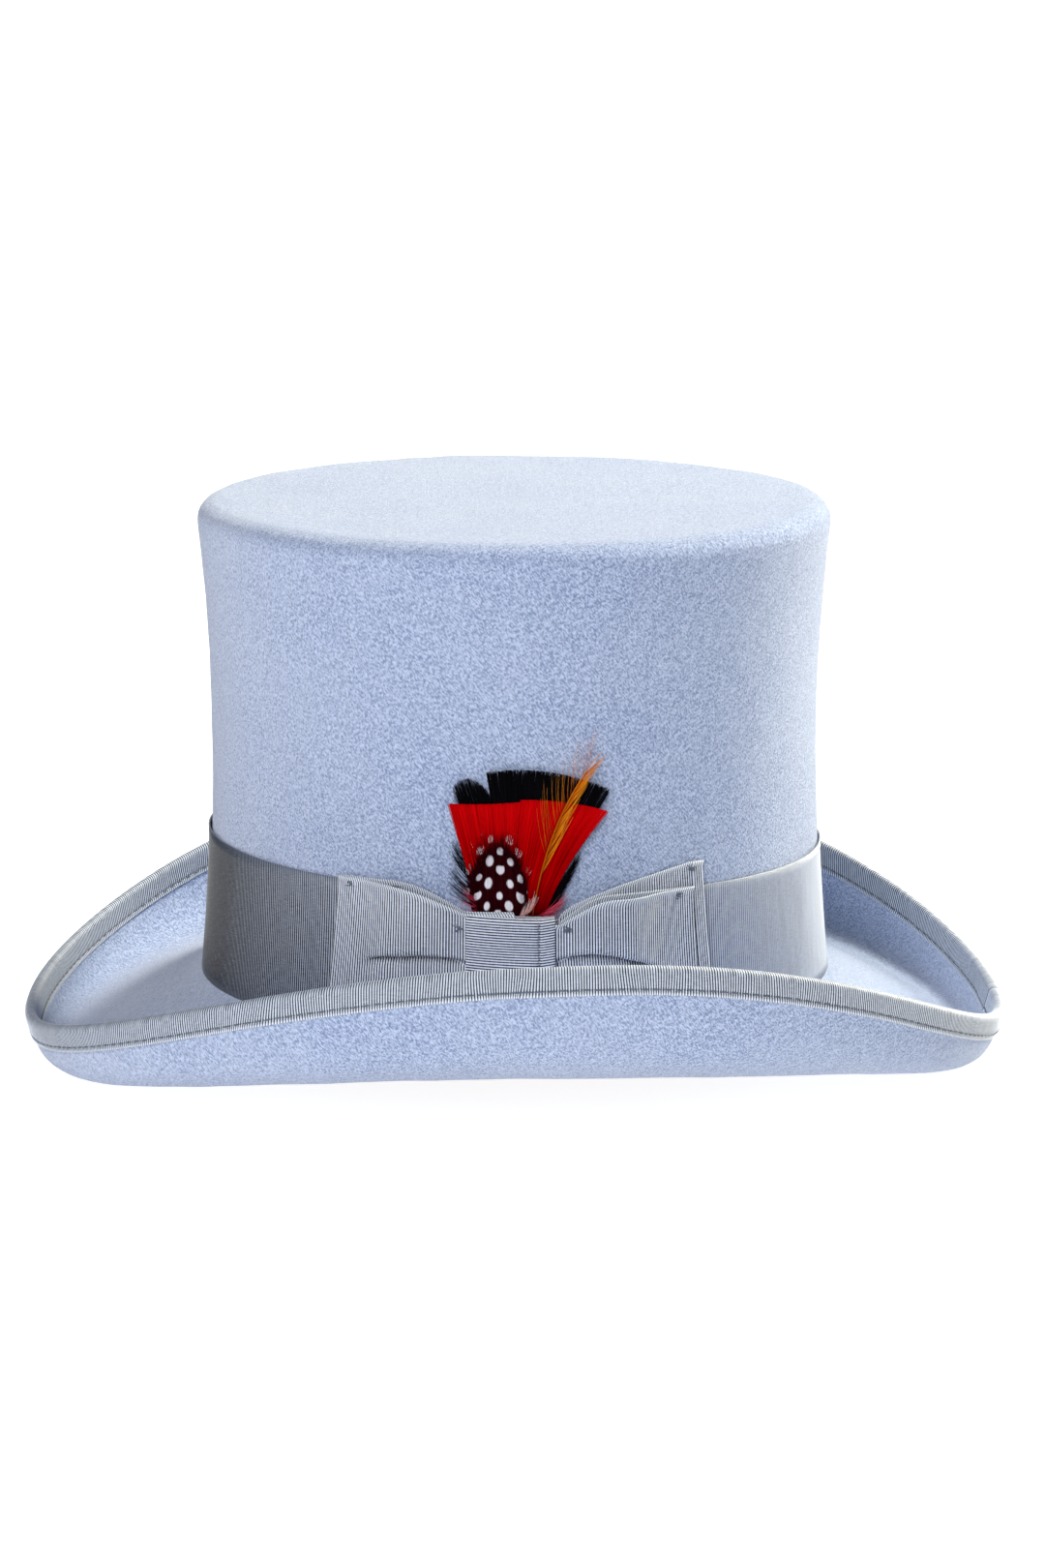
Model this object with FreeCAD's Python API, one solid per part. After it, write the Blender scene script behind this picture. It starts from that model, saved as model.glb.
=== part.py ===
"""Blocked-felt top hat with a curled, ribbon-bound brim, a ribbon band and bow, and a feather spray.

Millimetres, +Z up. The origin is on the floor under the middle of the brim. +X points to the wearer's
back and -Y to the wearer's left, the side that carries the bow.
"""

import FreeCAD, Part
import os
from bisect import bisect
from math import atan, cos, hypot, pi, radians, sin

Vector = FreeCAD.Vector

# Felt hood: one piece of stiffened felt, blocked into a crown and a brim.
FELT = 2.5
CROWN_LENGTH = 210.0  # outside, at the break between crown and brim
CROWN_WIDTH = 178.0
CROWN_HEIGHT = 162.0  # from the break to the tip
WAIST_INSET = 4.5  # the wall draws in to a waist and flares again to the tip
WAIST_HEIGHT = 85.0
TIP_EDGE_RADIUS = 6.5
BRIM_LENGTH = 325.0
BRIM_WIDTH = 251.0
RIM_POWER = 2.3  # superellipse power of the rim's outline
RIM_DROP_END = 9.0  # the rim is below the break at front and back
RIM_RISE_SIDE = 35.0  # and above it at the sides
RIM_SKEW = 10.5  # the bow side's curl is rolled higher toward the back
BRIM_START_ANGLE = (-17.0, -16.0)  # degrees, at the ends and at the sides
BRIM_RIM_ANGLE = (77.0, 97.0)
BRIM_START_PULL = (0.70, 0.45)  # Bezier handles, as shares of the brim's chord
BRIM_RIM_PULL = (0.54, 0.76)
BREAK_TOP = 4.0  # height at which the wall starts to turn into the brim
BREAK_SHARE = 0.07  # share of the brim's curve taken up by that turn
BREAK_HANDLE = 2.2
FLOOR_TO_BREAK = 24.2  # the ends of the brim dip this far and stand on the floor

# Ribbons, threads and the gaps that keep touching layers apart.
GAP = 0.1
RIBBON = 0.5
BINDING = 0.6
BINDING_GAP = 0.3  # between the felt and the ribbon folded over its rim
BINDING_TOP_WIDTH = 8.5
BINDING_UNDER_WIDTH = 7.6
THREAD = 0.5
THREAD_INSET = 2.0  # the seam runs this far inside the binding's edge
TACK_GAP = 0.4  # the flat foot of a tack clears the curved ribbon under it
BAND_BOTTOM = 4.2
BAND_TOP = 50.0
BAND_TILT = 0.025  # the band sits slightly lower toward the back
BAND_END_LEFT = -47.0  # both ends are hidden under the bow
BAND_END_RIGHT = 40.0

# Bow, placed by the distance across the crown's left side from the middle of that side.
KNOT_LEFT = -16.0
KNOT_RIGHT = 11.0
KNOT_BOTTOM = 19.0
KNOT_TOP = 44.0
WING_FLAT = 48.0  # past this distance a wing lies flat on the band
WING_BOTTOM = 6.0
LEFT_WING_END = -60.0
RIGHT_WING_END = 58.0
TAIL_END = 63.0
# Full height of a wing's top edge, and the distance across where the wing reaches it.
LEFT_WING = (52.9, 43.0)
RIGHT_WING = (49.0, 34.0)
TAIL = (56.7, 55.0)
WING_BULGE = 2.5
POCKET = 3.5  # free depth behind the knot, where the feather spray slides
LAYER_STEP = 0.65  # ribbon plus clearance
KNOT_DEPTH = 6 * LAYER_STEP  # it wraps four layers of ribbon
STACK_START = POCKET + 1.5 * RIBBON + GAP  # middle of the innermost layer inside the knot
KNOT_GRIP = 1.5  # a wing starts to spread this far beyond the knot
KNOT_MARGIN = 2.8  # the wings are this much narrower than the knot on each side where it grips them

# Feather spray.
TAB = 0.4
TAB_WIDTH = 12.0
TAB_BOTTOM = 24.0
TAB_TOP = 42.0
VANE = 0.25
VANE_STEP = 0.4
VANE_BASE = 43.5

# Inside of the crown.
LINING = 0.3
LINING_BOTTOM = 22.0
LINING_TOP = 154.0
SWEATBAND = 0.9
SWEATBAND_BOTTOM = 1.5
SWEATBAND_TOP = 38.0
SWEATBAND_DEPTH = FELT + 3 * GAP + LINING
REED_RADIUS = 0.9
LABEL_WIDTH = 26.0
LABEL_HEIGHT = 16.0
LABEL_BOTTOM = 17.0
SMALL_BOW_WIDTH = 20.0
SMALL_BOW_HEIGHT = 8.0
SMALL_BOW_BOTTOM = 6.0
SMALL_BOW_PINCH = 0.5  # how much narrower its middle is

AROUND = 48  # stations around the hat
BRIM_SPANS = 14  # rings from the break to the rim
STEP = 1e-3  # for slopes by central differences

SEMI_LENGTH = CROWN_LENGTH / 2
SEMI_WIDTH = CROWN_WIDTH / 2
HALF_FELT = FELT / 2


# ---------------------------------------------------------------- the hat's surface


def mix(pair, angle):
    """Goes from the first value at the hat's ends to the second at its sides."""
    side = sin(angle) ** 2
    return pair[0] * (1 - side) + pair[1] * side


def crown_inset(height):
    """How far the waisted wall stands inside its oval at the break."""
    if height < WAIST_HEIGHT:
        return WAIST_INSET * (1 - (1 - height / WAIST_HEIGHT) ** 2)
    return WAIST_INSET * (1 - ((height - WAIST_HEIGHT) / (CROWN_HEIGHT - WAIST_HEIGHT)) ** 2)


def wall_point(angle, height, out):
    """A point at a distance out of the crown's outer face."""
    grow = out - crown_inset(height)
    return Vector(
        (SEMI_LENGTH + grow) * cos(angle),
        (SEMI_WIDTH + grow) * sin(angle),
        FLOOR_TO_BREAK + height,
    )


def tip_edge_point(angle, share):
    """The rounded edge of the tip on the felt's middle surface, from the flat tip to the wall."""
    radius = TIP_EDGE_RADIUS - HALF_FELT
    flare = 2 * atan(WAIST_INSET / (CROWN_HEIGHT - WAIST_HEIGHT))
    turn = pi / 2 + flare
    middle = CROWN_HEIGHT - HALF_FELT - radius
    end = middle + radius * cos(turn)
    out = -HALF_FELT - crown_inset(end) - radius * sin(turn) + radius * sin(share * turn)
    return Vector(
        (SEMI_LENGTH + out) * cos(angle),
        (SEMI_WIDTH + out) * sin(angle),
        FLOOR_TO_BREAK + middle + radius * cos(share * turn),
    )


def wall_top():
    """Height at which the tip's rounded edge meets the wall."""
    flare = 2 * atan(WAIST_INSET / (CROWN_HEIGHT - WAIST_HEIGHT))
    radius = TIP_EDGE_RADIUS - HALF_FELT
    return CROWN_HEIGHT - HALF_FELT - radius - radius * sin(flare)


def rim_height(angle):
    """Height of the rim above the break."""
    side = sin(angle) ** 2
    skew = RIM_SKEW * cos(angle) * side * (1 - sin(angle)) / 2
    return RIM_RISE_SIDE * side - RIM_DROP_END * (1 - side) + skew


def brim_point(angle, share):
    """The brim's middle surface: a Bezier curve from the break down, out and up to the rim."""
    c = cos(angle)
    s = sin(angle)
    power = 2 / RIM_POWER
    base = Vector(SEMI_LENGTH * c, SEMI_WIDTH * s, 0)
    rim = Vector(
        BRIM_LENGTH / 2 * abs(c) ** power * (1 if c > 0 else -1),
        BRIM_WIDTH / 2 * abs(s) ** power * (1 if s > 0 else -1),
        0,
    )
    reach = (rim - base).Length
    rise = rim_height(angle)
    chord = hypot(reach, rise)
    start = radians(mix(BRIM_START_ANGLE, angle))
    finish = radians(mix(BRIM_RIM_ANGLE, angle))
    first = chord * mix(BRIM_START_PULL, angle)
    last = chord * mix(BRIM_RIM_PULL, angle)
    rest = 1 - share
    near = 3 * rest ** 2 * share
    far = 3 * rest * share ** 2
    end = share ** 3
    out = near * first * cos(start) + far * (reach - last * cos(finish)) + end * reach
    up = near * first * sin(start) + far * (rise - last * sin(finish)) + end * rise
    return base + (rim - base) * (out / reach) + Vector(0, 0, FLOOR_TO_BREAK + up)


def break_point(angle, share):
    """The tight turn from the wall into the brim, as a Bezier curve tangent to both."""
    top = wall_point(angle, BREAK_TOP, -HALF_FELT)
    above = wall_point(angle, BREAK_TOP + STEP, -HALF_FELT)
    bottom = brim_point(angle, BREAK_SHARE)
    beyond = brim_point(angle, BREAK_SHARE + STEP)
    top_handle = top + (top - above).normalize() * BREAK_HANDLE
    bottom_handle = bottom - (beyond - bottom).normalize() * BREAK_HANDLE
    rest = 1 - share
    return (
        top * rest ** 3
        + top_handle * (3 * rest ** 2 * share)
        + bottom_handle * (3 * rest * share ** 2)
        + bottom * share ** 3
    )


def felt_middle(angle, way):
    """The felt's middle surface. way runs 0-1 over the tip's edge, to 2 down the wall, to 3 round the
    break and to 4 out to the rim."""
    if way < 1:
        return tip_edge_point(angle, way)
    if way < 2:
        height = wall_top() + (BREAK_TOP - wall_top()) * (way - 1)
        return wall_point(angle, height, -HALF_FELT)
    if way < 3:
        return break_point(angle, way - 2)
    return brim_point(angle, BREAK_SHARE + (1 - BREAK_SHARE) * (way - 3))


def felt_point(angle, way, out):
    """A point off the middle surface; positive is outside the crown and above the brim."""
    around = felt_middle(angle + STEP, way) - felt_middle(angle - STEP, way)
    along = felt_middle(angle, way + STEP) - felt_middle(angle, way - STEP)
    return felt_middle(angle, way) + along.cross(around).normalize() * out


def way_from_rim(angle, distance):
    """The way coordinate of a point on the brim at a distance in from the rim."""
    speed = (felt_middle(angle, 4) - felt_middle(angle, 4 - STEP)).Length / STEP
    return 4 - distance / speed


def side_angle(across):
    """The angle of a point at a distance across the crown's left side; positive is toward the back."""
    angle = -pi / 2
    steps = 24
    for _ in range(steps):
        speed = hypot(SEMI_LENGTH * sin(angle), SEMI_WIDTH * cos(angle))
        angle += across / steps / speed
    return angle


def side_point(across, height, out):
    """A point of the bow or the feathers, on the crown's left side."""
    return wall_point(side_angle(across), height, out)


# ---------------------------------------------------------------- solids from skins


def station_angles():
    return [2 * pi * (index + 0.5) / AROUND for index in range(AROUND)]


def ring(points):
    """A smooth closed curve; every ring has the same parameters, so rings loft cleanly."""
    curve = Part.BSplineCurve()
    curve.interpolate(Points=points, PeriodicFlag=True, Parameters=list(range(len(points) + 1)))
    return Part.Wire([curve.toShape()])


def closed_solid(faces):
    """Sews faces into one closed solid."""
    shell = Part.makeShell(faces)
    shell.sewShape()
    solid = Part.makeSolid(shell)
    if solid.Volume < 0:
        solid.reverse()
    return solid


def loft_faces(stretches):
    """Faces through rings. Each stretch of evenly spaced rings is lofted alone, and starts with the
    ring that the stretch before it ends with."""
    faces = []
    for rings in stretches:
        faces += Part.makeLoft([ring(points) for points in rings], False, False).Faces
    return faces


def ring_slab(outer, inner):
    """A solid between two skins of rings that go all the way round, closed at both edges."""
    faces = loft_faces(outer) + loft_faces(inner)
    for stretch, end in ((0, 0), (-1, -1)):
        edges = [ring(skin[stretch][end]) for skin in (outer, inner)]
        faces += Part.makeRuledSurface(*edges).Faces
    return closed_solid(faces)


def slab(outer, inner):
    """A solid between two open skins, closed along its edges. Each skin is a list of stretches, and a
    stretch is a grid of points; a stretch starts with the row that the stretch before it ends with."""
    faces = []
    last = len(outer) - 1
    for index, grids in enumerate(zip(outer, inner)):
        skins = [interpolated(rows) for rows in grids]
        faces += [skin.toShape() for skin in skins]
        start, end, low, high = zip(*[border(skin) for skin in skins])
        strips = [low, high]
        if index == 0:
            strips.append(start)
        if index == last:
            strips.append(end)
        faces += [Part.makeRuledSurface(*strip) for strip in strips]
    return closed_solid(faces)


def interpolated(rows):
    """A smooth surface through a grid of points."""
    skin = Part.BSplineSurface()
    skin.interpolate(rows)
    return skin


def border(skin):
    """The four edge curves of a skin."""
    u_start, u_end, v_start, v_end = skin.bounds()
    curves = [skin.uIso(u_start), skin.uIso(u_end), skin.vIso(v_start), skin.vIso(v_end)]
    return [curve.toShape() for curve in curves]


def wall_ring(height, out):
    return [wall_point(angle, height, out) for angle in station_angles()]


def save(name, shape):
    shape.exportStep(f"parts/{name}.step")


# ---------------------------------------------------------------- hood and binding


def felt_ring(way, out):
    return [felt_point(angle, way, out) for angle in station_angles()]


def felt_skin(out):
    """The tip's edge, the wall, the break and the brim, each as evenly spaced rings."""
    stretches = []
    for start, spans in enumerate((3, 8, 4)):
        stretches.append([felt_ring(start + index / spans, out) for index in range(spans + 1)])
    stations = [(angle, even_ways(angle)) for angle in station_angles()]
    brim = []
    for index in range(BRIM_SPANS + 1):
        brim.append([felt_point(angle, ways[index], out) for angle, ways in stations])
    return stretches + [brim]


def even_ways(angle):
    """Ways that divide the brim into equal lengths at one angle, from the break to the rim."""
    fine = 100
    run = [0.0]
    last = felt_middle(angle, 3)
    for index in range(1, fine + 1):
        here = felt_middle(angle, 3 + index / fine)
        run.append(run[-1] + (here - last).Length)
        last = here
    ways = []
    for span in range(BRIM_SPANS + 1):
        target = run[-1] * span / BRIM_SPANS
        index = min(bisect(run, target), fine)
        share = (target - run[index - 1]) / (run[index] - run[index - 1])
        ways.append(3 + (index - 1 + share) / fine)
    return ways


def felt_body():
    outer = felt_skin(HALF_FELT)
    inner = felt_skin(-HALF_FELT)
    faces = loft_faces(outer) + loft_faces(inner)
    faces += [Part.Face(ring(skin[0][0])) for skin in (outer, inner)]
    faces += Part.makeRuledSurface(ring(outer[-1][-1]), ring(inner[-1][-1])).Faces
    return closed_solid(faces)


def rim_fold_ring(turn, out):
    """A ring off the rim's edge, turned from the top face (0) to the under face (pi)."""
    points = []
    for angle in station_angles():
        middle = felt_middle(angle, 4)
        up = (felt_point(angle, 4, 1) - middle).normalize()
        outward = (middle - felt_middle(angle, 4 - STEP)).normalize()
        points.append(middle + up * (out * cos(turn)) + outward * (out * sin(turn)))
    return points


def brim_ring(distance, out):
    """A ring on the brim at a distance in from the rim."""
    return [felt_point(angle, way_from_rim(angle, distance), out) for angle in station_angles()]


def brim_binding():
    spans = 3
    shares = [index / spans for index in range(spans + 1)]
    skins = []
    for out in (HALF_FELT + BINDING_GAP + BINDING, HALF_FELT + BINDING_GAP):
        top = [brim_ring(BINDING_TOP_WIDTH * (1 - share), out) for share in shares]
        fold = [rim_fold_ring(pi * share, out) for share in (0, 0.25, 0.5, 0.75, 1)]
        under = [brim_ring(BINDING_UNDER_WIDTH * share, -out) for share in shares]
        skins.append([top, fold, under])
    return ring_slab(*skins)


def binding_thread(width, side):
    """The seam's thread on one face of the binding; side is 1 on top and -1 underneath."""
    near = HALF_FELT + BINDING_GAP + BINDING + GAP
    middle = width - THREAD_INSET
    edges = (middle + THREAD / 2, middle - THREAD / 2)
    skins = []
    for out in (near + THREAD, near):
        skins.append([[brim_ring(distance, side * out) for distance in edges]])
    return ring_slab(*skins)


def crown_band():
    """An open strip of ribbon round the crown; its ends are hidden under the bow."""
    start = side_angle(BAND_END_RIGHT)
    end = side_angle(BAND_END_LEFT) + 2 * pi
    skins = []
    for out in (GAP + BINDING, GAP):
        rows = []
        for index in range(AROUND + 1):
            angle = start + (end - start) * index / AROUND
            top = BAND_TOP - BAND_TILT * SEMI_LENGTH * cos(angle)
            heights = [BAND_BOTTOM + (top - BAND_BOTTOM) * share / 4 for share in range(5)]
            rows.append([wall_point(angle, height, out) for height in heights])
        skins.append([rows])
    return slab(*skins)


# ---------------------------------------------------------------- bow


def grip_edge(side):
    """Where a wing starts to spread, just beyond the knot; side is 1 for the right and -1 for the left."""
    return KNOT_RIGHT + KNOT_GRIP if side > 0 else KNOT_LEFT - KNOT_GRIP


def spread(across, full):
    """0 at the knot, rising smoothly to 1 at a distance across."""
    edge = abs(grip_edge(across))
    share = (abs(across) - edge) / (full - edge)
    return sin(pi / 2 * min(max(share, 0), 1))


def wing_stops(end):
    """Distances across of a wing's rows: those inside the knot, and those from the knot to its end."""
    side = 1 if end > 0 else -1
    edge = grip_edge(side)
    inside = [side + (edge - side) * index / 2 for index in range(3)]
    outside = [edge + (end - edge) * index / 8 for index in range(9)]
    return inside, outside


def wing_heights(across, outline):
    """Bottom and top of a wing at a distance across."""
    full_top, full = outline
    opening = spread(across, full)
    low = KNOT_BOTTOM + KNOT_MARGIN
    high = KNOT_TOP - KNOT_MARGIN
    return low + (WING_BOTTOM - low) * opening, high + (full_top - high) * opening


def wing_level(across, layer, far_level):
    """How far a ribbon layer stands off the felt: stacked at the knot, flat on the band beyond it."""
    stacked = STACK_START + layer * LAYER_STEP
    return stacked + (far_level - stacked) * spread(across, WING_FLAT)


def wing_bulge(across, end):
    """Extra height of a loop's front between the knot and its fold."""
    edge = KNOT_LEFT if across < 0 else KNOT_RIGHT
    share = (across - edge) / (end - edge)
    return WING_BULGE * sin(pi * min(max(share, 0), 1)) ** 2


def folded_ribbon(stretches, outline):
    """A ribbon that follows stretches of (across, level) points, as tall as the wing is there. Each
    stretch is a smooth surface, and starts at the point where the stretch before it ends."""
    path = stretches[0] + [point for stretch in stretches[1:] for point in stretch[1:]]
    skins = []
    for side in (RIBBON / 2, -RIBBON / 2):
        rows = [ribbon_row(path, index, side, outline) for index in range(len(path))]
        skin = []
        first = 0
        for stretch in stretches:
            skin.append(rows[first:first + len(stretch)])
            first += len(stretch) - 1
        skins.append(skin)
    return slab(*skins)


def ribbon_row(path, index, side, outline):
    """A row of points up the ribbon at one point of its path, on one of its two faces."""
    across, level = path[index]
    before = path[max(index - 1, 0)]
    after = path[min(index + 1, len(path) - 1)]
    run = (after[0] - before[0], after[1] - before[1])
    length = hypot(*run)
    offset = (-run[1] / length * side, run[0] / length * side)
    bottom, top = wing_heights(across, outline)
    heights = [bottom + (top - bottom) * share / 4 for share in range(5)]
    return [side_point(across + offset[0], height, level + offset[1]) for height in heights]


def bow_loop(end, layer, far_level, outline):
    """A wing of the bow: a ribbon that runs out from the knot, folds at its end and comes back."""
    side = 1 if end > 0 else -1
    fold_radius = LAYER_STEP / 2
    reach = end - side * fold_radius
    inside, outside = wing_stops(reach)
    back = [[(across, wing_level(across, layer, far_level)) for across in stops]
            for stops in (inside, outside)]
    front = []
    for stops in (outside[::-1], inside[::-1]):
        stretch = []
        for across in stops:
            level = wing_level(across, layer + 1, far_level + 2 * fold_radius)
            stretch.append((across, level + wing_bulge(across, end)))
        front.append(stretch)
    low = back[-1][-1]
    high = front[0][0]
    middle = (low[1] + high[1]) / 2
    fold = [low]
    for turn in (pi / 4, pi / 2, 3 * pi / 4):
        fold.append((reach + side * fold_radius * sin(turn), middle - fold_radius * cos(turn)))
    fold.append(high)
    return folded_ribbon(back + [fold] + front, outline)


def bow_tail():
    """The single panel behind the right wing; it ends in a plain edge beyond the wing's fold."""
    stretches = []
    for stops in wing_stops(TAIL_END):
        stretches.append([(across, wing_level(across, 0, bow_far_level(0))) for across in stops])
    return folded_ribbon(stretches, TAIL)


def bow_knot():
    """A short ribbon wrapped round the middle of the bow, as a flattened tube lying across it."""
    spans = 4
    skins = []
    for inset in (0, RIBBON):
        rings = []
        for index in range(spans + 1):
            across = KNOT_LEFT + (KNOT_RIGHT - KNOT_LEFT) * index / spans
            rings.append(knot_ring(across, inset))
        skins.append([rings])
    return ring_slab(*skins)


def knot_ring(across, inset):
    """One closed turn of the knot: flat in front and behind, and round at the top and bottom."""
    count = 40
    radius = KNOT_DEPTH / 2 - inset
    flat = KNOT_TOP - KNOT_BOTTOM - KNOT_DEPTH
    middle = (KNOT_TOP + KNOT_BOTTOM) / 2
    points = []
    for index in range(count):
        up, out = flat_loop(flat, radius, index / count)
        points.append(side_point(across, middle + up, POCKET + KNOT_DEPTH / 2 + out))
    return points


def flat_loop(flat, radius, share):
    """A point on a loop of two flats joined by half circles, a share of the way round it."""
    half = flat + pi * radius
    run = 2 * half * share
    side = 1 if run < half else -1
    if side < 0:
        run -= half
    if run < flat:
        return side * (flat / 2 - run), side * radius
    turn = (run - flat) / radius
    return side * (-flat / 2 - radius * sin(turn)), side * radius * cos(turn)


def bow_tacks():
    """Small thread knots that hold the layers down, as short pins standing off the ribbon."""
    spots = [
        (LEFT_WING_END + 5, LEFT_WING[0] - 2),
        (KNOT_LEFT - 5, KNOT_TOP - 6),
        (KNOT_RIGHT + 5, KNOT_TOP - 6),
        (RIGHT_WING_END - 4, RIGHT_WING[0] - 2),
    ]
    tacks = []
    for across, height in spots:
        end = LEFT_WING_END if across < 0 else RIGHT_WING_END
        layer = 1 if across < 0 else 2
        far_level = bow_far_level(layer - 1) + LAYER_STEP
        level = wing_level(across, layer, far_level) + wing_bulge(across, end) + RIBBON / 2
        base = side_point(across, height, level + TACK_GAP)
        top = side_point(across, height, level + TACK_GAP + THREAD)
        tacks.append(Part.makeCylinder(THREAD, THREAD, base, top - base))
    return Part.makeCompound(tacks)


def bow_far_level(layer):
    """Middle level of a layer where it lies on the band."""
    return BINDING + RIBBON / 2 + 3 * GAP + layer * LAYER_STEP


# ---------------------------------------------------------------- feather spray


def fan(base, tip, rise, layer, bend=0.0):
    """A thin vane. base and tip are each (left, right, height); the tip's edge rises to a curve."""
    inner_level = 2 * GAP + TAB + GAP + layer * VANE_STEP
    skins = []
    for level in (inner_level + VANE, inner_level):
        rows = []
        for up in (0, 0.2, 0.4, 0.6, 0.8, 1):
            left = base[0] + (tip[0] - base[0]) * up
            right = base[1] + (tip[1] - base[1]) * up
            sway = bend * 4 * up * (1 - up)
            row = []
            for along in (0, 0.25, 0.5, 0.75, 1):
                across = left + (right - left) * along + sway
                height = base[2] + (tip[2] - base[2]) * up + rise * up * 4 * along * (1 - along)
                row.append(side_point(across, height, level))
            rows.append(row)
        skins.append([rows])
    return slab(*skins)


def feather_tab():
    """The card that the quills are glued to; it slides behind the knot."""
    middle = (KNOT_LEFT + KNOT_RIGHT) / 2
    skins = []
    for level in (2 * GAP + TAB, 2 * GAP):
        rows = []
        for along in range(5):
            across = middle + TAB_WIDTH * (along / 4 - 0.5)
            heights = [TAB_BOTTOM + (TAB_TOP - TAB_BOTTOM) * up / 4 for up in range(5)]
            rows.append([side_point(across, height, level) for height in heights])
        skins.append([rows])
    return slab(*skins)


def feathers():
    """Each vane by name, in layers from the felt outward."""
    return {
        "feather_hackle_left": fan((-11, -8, VANE_BASE), (-24, -17, 66), 1, 0),
        "feather_hackle_right": fan((3, 7, VANE_BASE), (18, 23, 60), 1, 0),
        "feather_black_small": fan((-7, -3, VANE_BASE), (-20, -8, 83), 3, 1),
        "feather_black_wide": fan((-3, 4, VANE_BASE), (-9, 31, 87), 3, 2),
        "feather_red_left": fan((-11, 0, VANE_BASE), (-22, 6, 79), 2, 3),
        "feather_red_right": fan((-2, 9, VANE_BASE), (0, 30, 77), 4, 4),
        "feather_guinea": fan((-13, 4, VANE_BASE), (-10, 0, 61), 6, 5),
        "feather_golden": fan((3.5, 6.5, VANE_BASE), (26, 29, 92), 2, 6, bend=-2.0),
    }


# ---------------------------------------------------------------- inside of the crown


def lining_side():
    depth = FELT + 2 * GAP
    heights = [LINING_BOTTOM + (LINING_TOP - LINING_BOTTOM) * share / 5 for share in range(6)]
    outer = [wall_ring(height, -depth) for height in heights]
    inner = [wall_ring(height, -depth - LINING) for height in heights]
    return ring_slab([outer], [inner])


def lining_tip():
    """A flat oval of lining under the tip."""
    top = CROWN_HEIGHT - FELT - GAP
    wire = ring(wall_ring(top - LINING, -TIP_EDGE_RADIUS - GAP))
    return Part.Face(wire).extrude(Vector(0, 0, LINING))


def sweatband():
    heights = [SWEATBAND_BOTTOM + (SWEATBAND_TOP - SWEATBAND_BOTTOM) * share / 3 for share in range(4)]
    outer = [wall_ring(height, -SWEATBAND_DEPTH) for height in heights]
    inner = [wall_ring(height, -SWEATBAND_DEPTH - SWEATBAND) for height in heights]
    return ring_slab([outer], [inner])


def inner_cord(height, out, radius):
    """A thin cord lying level round the inside of the crown, with a six-sided section."""
    skins = []
    for turns in ((pi / 3, 0, -pi / 3), (2 * pi / 3, pi, 4 * pi / 3)):
        rings = []
        for turn in turns:
            rings.append(wall_ring(height + radius * sin(turn), out - radius + radius * cos(turn)))
        skins.append([rings[:2], rings[1:]])
    return ring_slab(*skins)


def sweatband_reed():
    """The plastic reed that stiffens the sweatband's lower edge."""
    return inner_cord(SWEATBAND_BOTTOM - REED_RADIUS - GAP, -SWEATBAND_DEPTH, REED_RADIUS)


def sweatband_thread():
    height = SWEATBAND_BOTTOM + THREAD_INSET
    return inner_cord(height, -SWEATBAND_DEPTH - SWEATBAND - GAP, THREAD / 2)


def back_patch(width, bottom, height, pinch, depth):
    """A small curved patch on the sweatband at the wearer's back; pinch narrows its middle."""
    skins = []
    for out in (-depth, -depth - RIBBON):
        rows = []
        for index in range(7):
            place = index / 3 - 1
            tall = height * (1 - pinch * (1 - place ** 2))
            middle = bottom + height / 2
            angle = place * width / 2 / SEMI_WIDTH
            heights = [middle + tall * (share / 4 - 0.5) for share in range(5)]
            rows.append([wall_point(angle, level, out) for level in heights])
        skins.append([rows])
    return slab(*skins)


def sweatband_bow():
    """The small flat ribbon bow over the sweatband's joint."""
    depth = SWEATBAND_DEPTH + SWEATBAND + 4 * GAP
    return back_patch(SMALL_BOW_WIDTH, SMALL_BOW_BOTTOM, SMALL_BOW_HEIGHT, SMALL_BOW_PINCH, depth)


def size_label():
    """A blank woven label sewn to the sweatband above the small bow."""
    depth = SWEATBAND_DEPTH + SWEATBAND + 4 * GAP
    return back_patch(LABEL_WIDTH, LABEL_BOTTOM, LABEL_HEIGHT, 0, depth)


def main():
    os.makedirs("parts", exist_ok=True)
    left_far = bow_far_level(0)
    right_far = bow_far_level(1)
    solids = {
        "felt_body": felt_body(),
        "brim_binding": brim_binding(),
        "binding_thread_top": binding_thread(BINDING_TOP_WIDTH, 1),
        "binding_thread_under": binding_thread(BINDING_UNDER_WIDTH, -1),
        "crown_band": crown_band(),
        "bow_left_loop": bow_loop(LEFT_WING_END, 0, left_far, LEFT_WING),
        "bow_right_loop": bow_loop(RIGHT_WING_END, 1, right_far, RIGHT_WING),
        "bow_right_tail": bow_tail(),
        "bow_knot": bow_knot(),
        "bow_tacks": bow_tacks(),
        "feather_tab": feather_tab(),
        "lining_side": lining_side(),
        "lining_tip": lining_tip(),
        "sweatband": sweatband(),
        "sweatband_reed": sweatband_reed(),
        "sweatband_thread": sweatband_thread(),
        "sweatband_bow": sweatband_bow(),
        "size_label": size_label(),
    }
    solids.update(feathers())
    for name, shape in solids.items():
        save(name, shape)


main()
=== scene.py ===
"""Looks for the felt top hat: felt, grosgrain ribbons, feathers and the inside of the crown.

Lengths in this file are millimetres until a mesh is made, and the frame is the hat's own: +Z up, +X to
the wearer's back and -Y to the side with the bow.
"""

from math import radians

import bpy
import numpy as np
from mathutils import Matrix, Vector, noise

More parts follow.
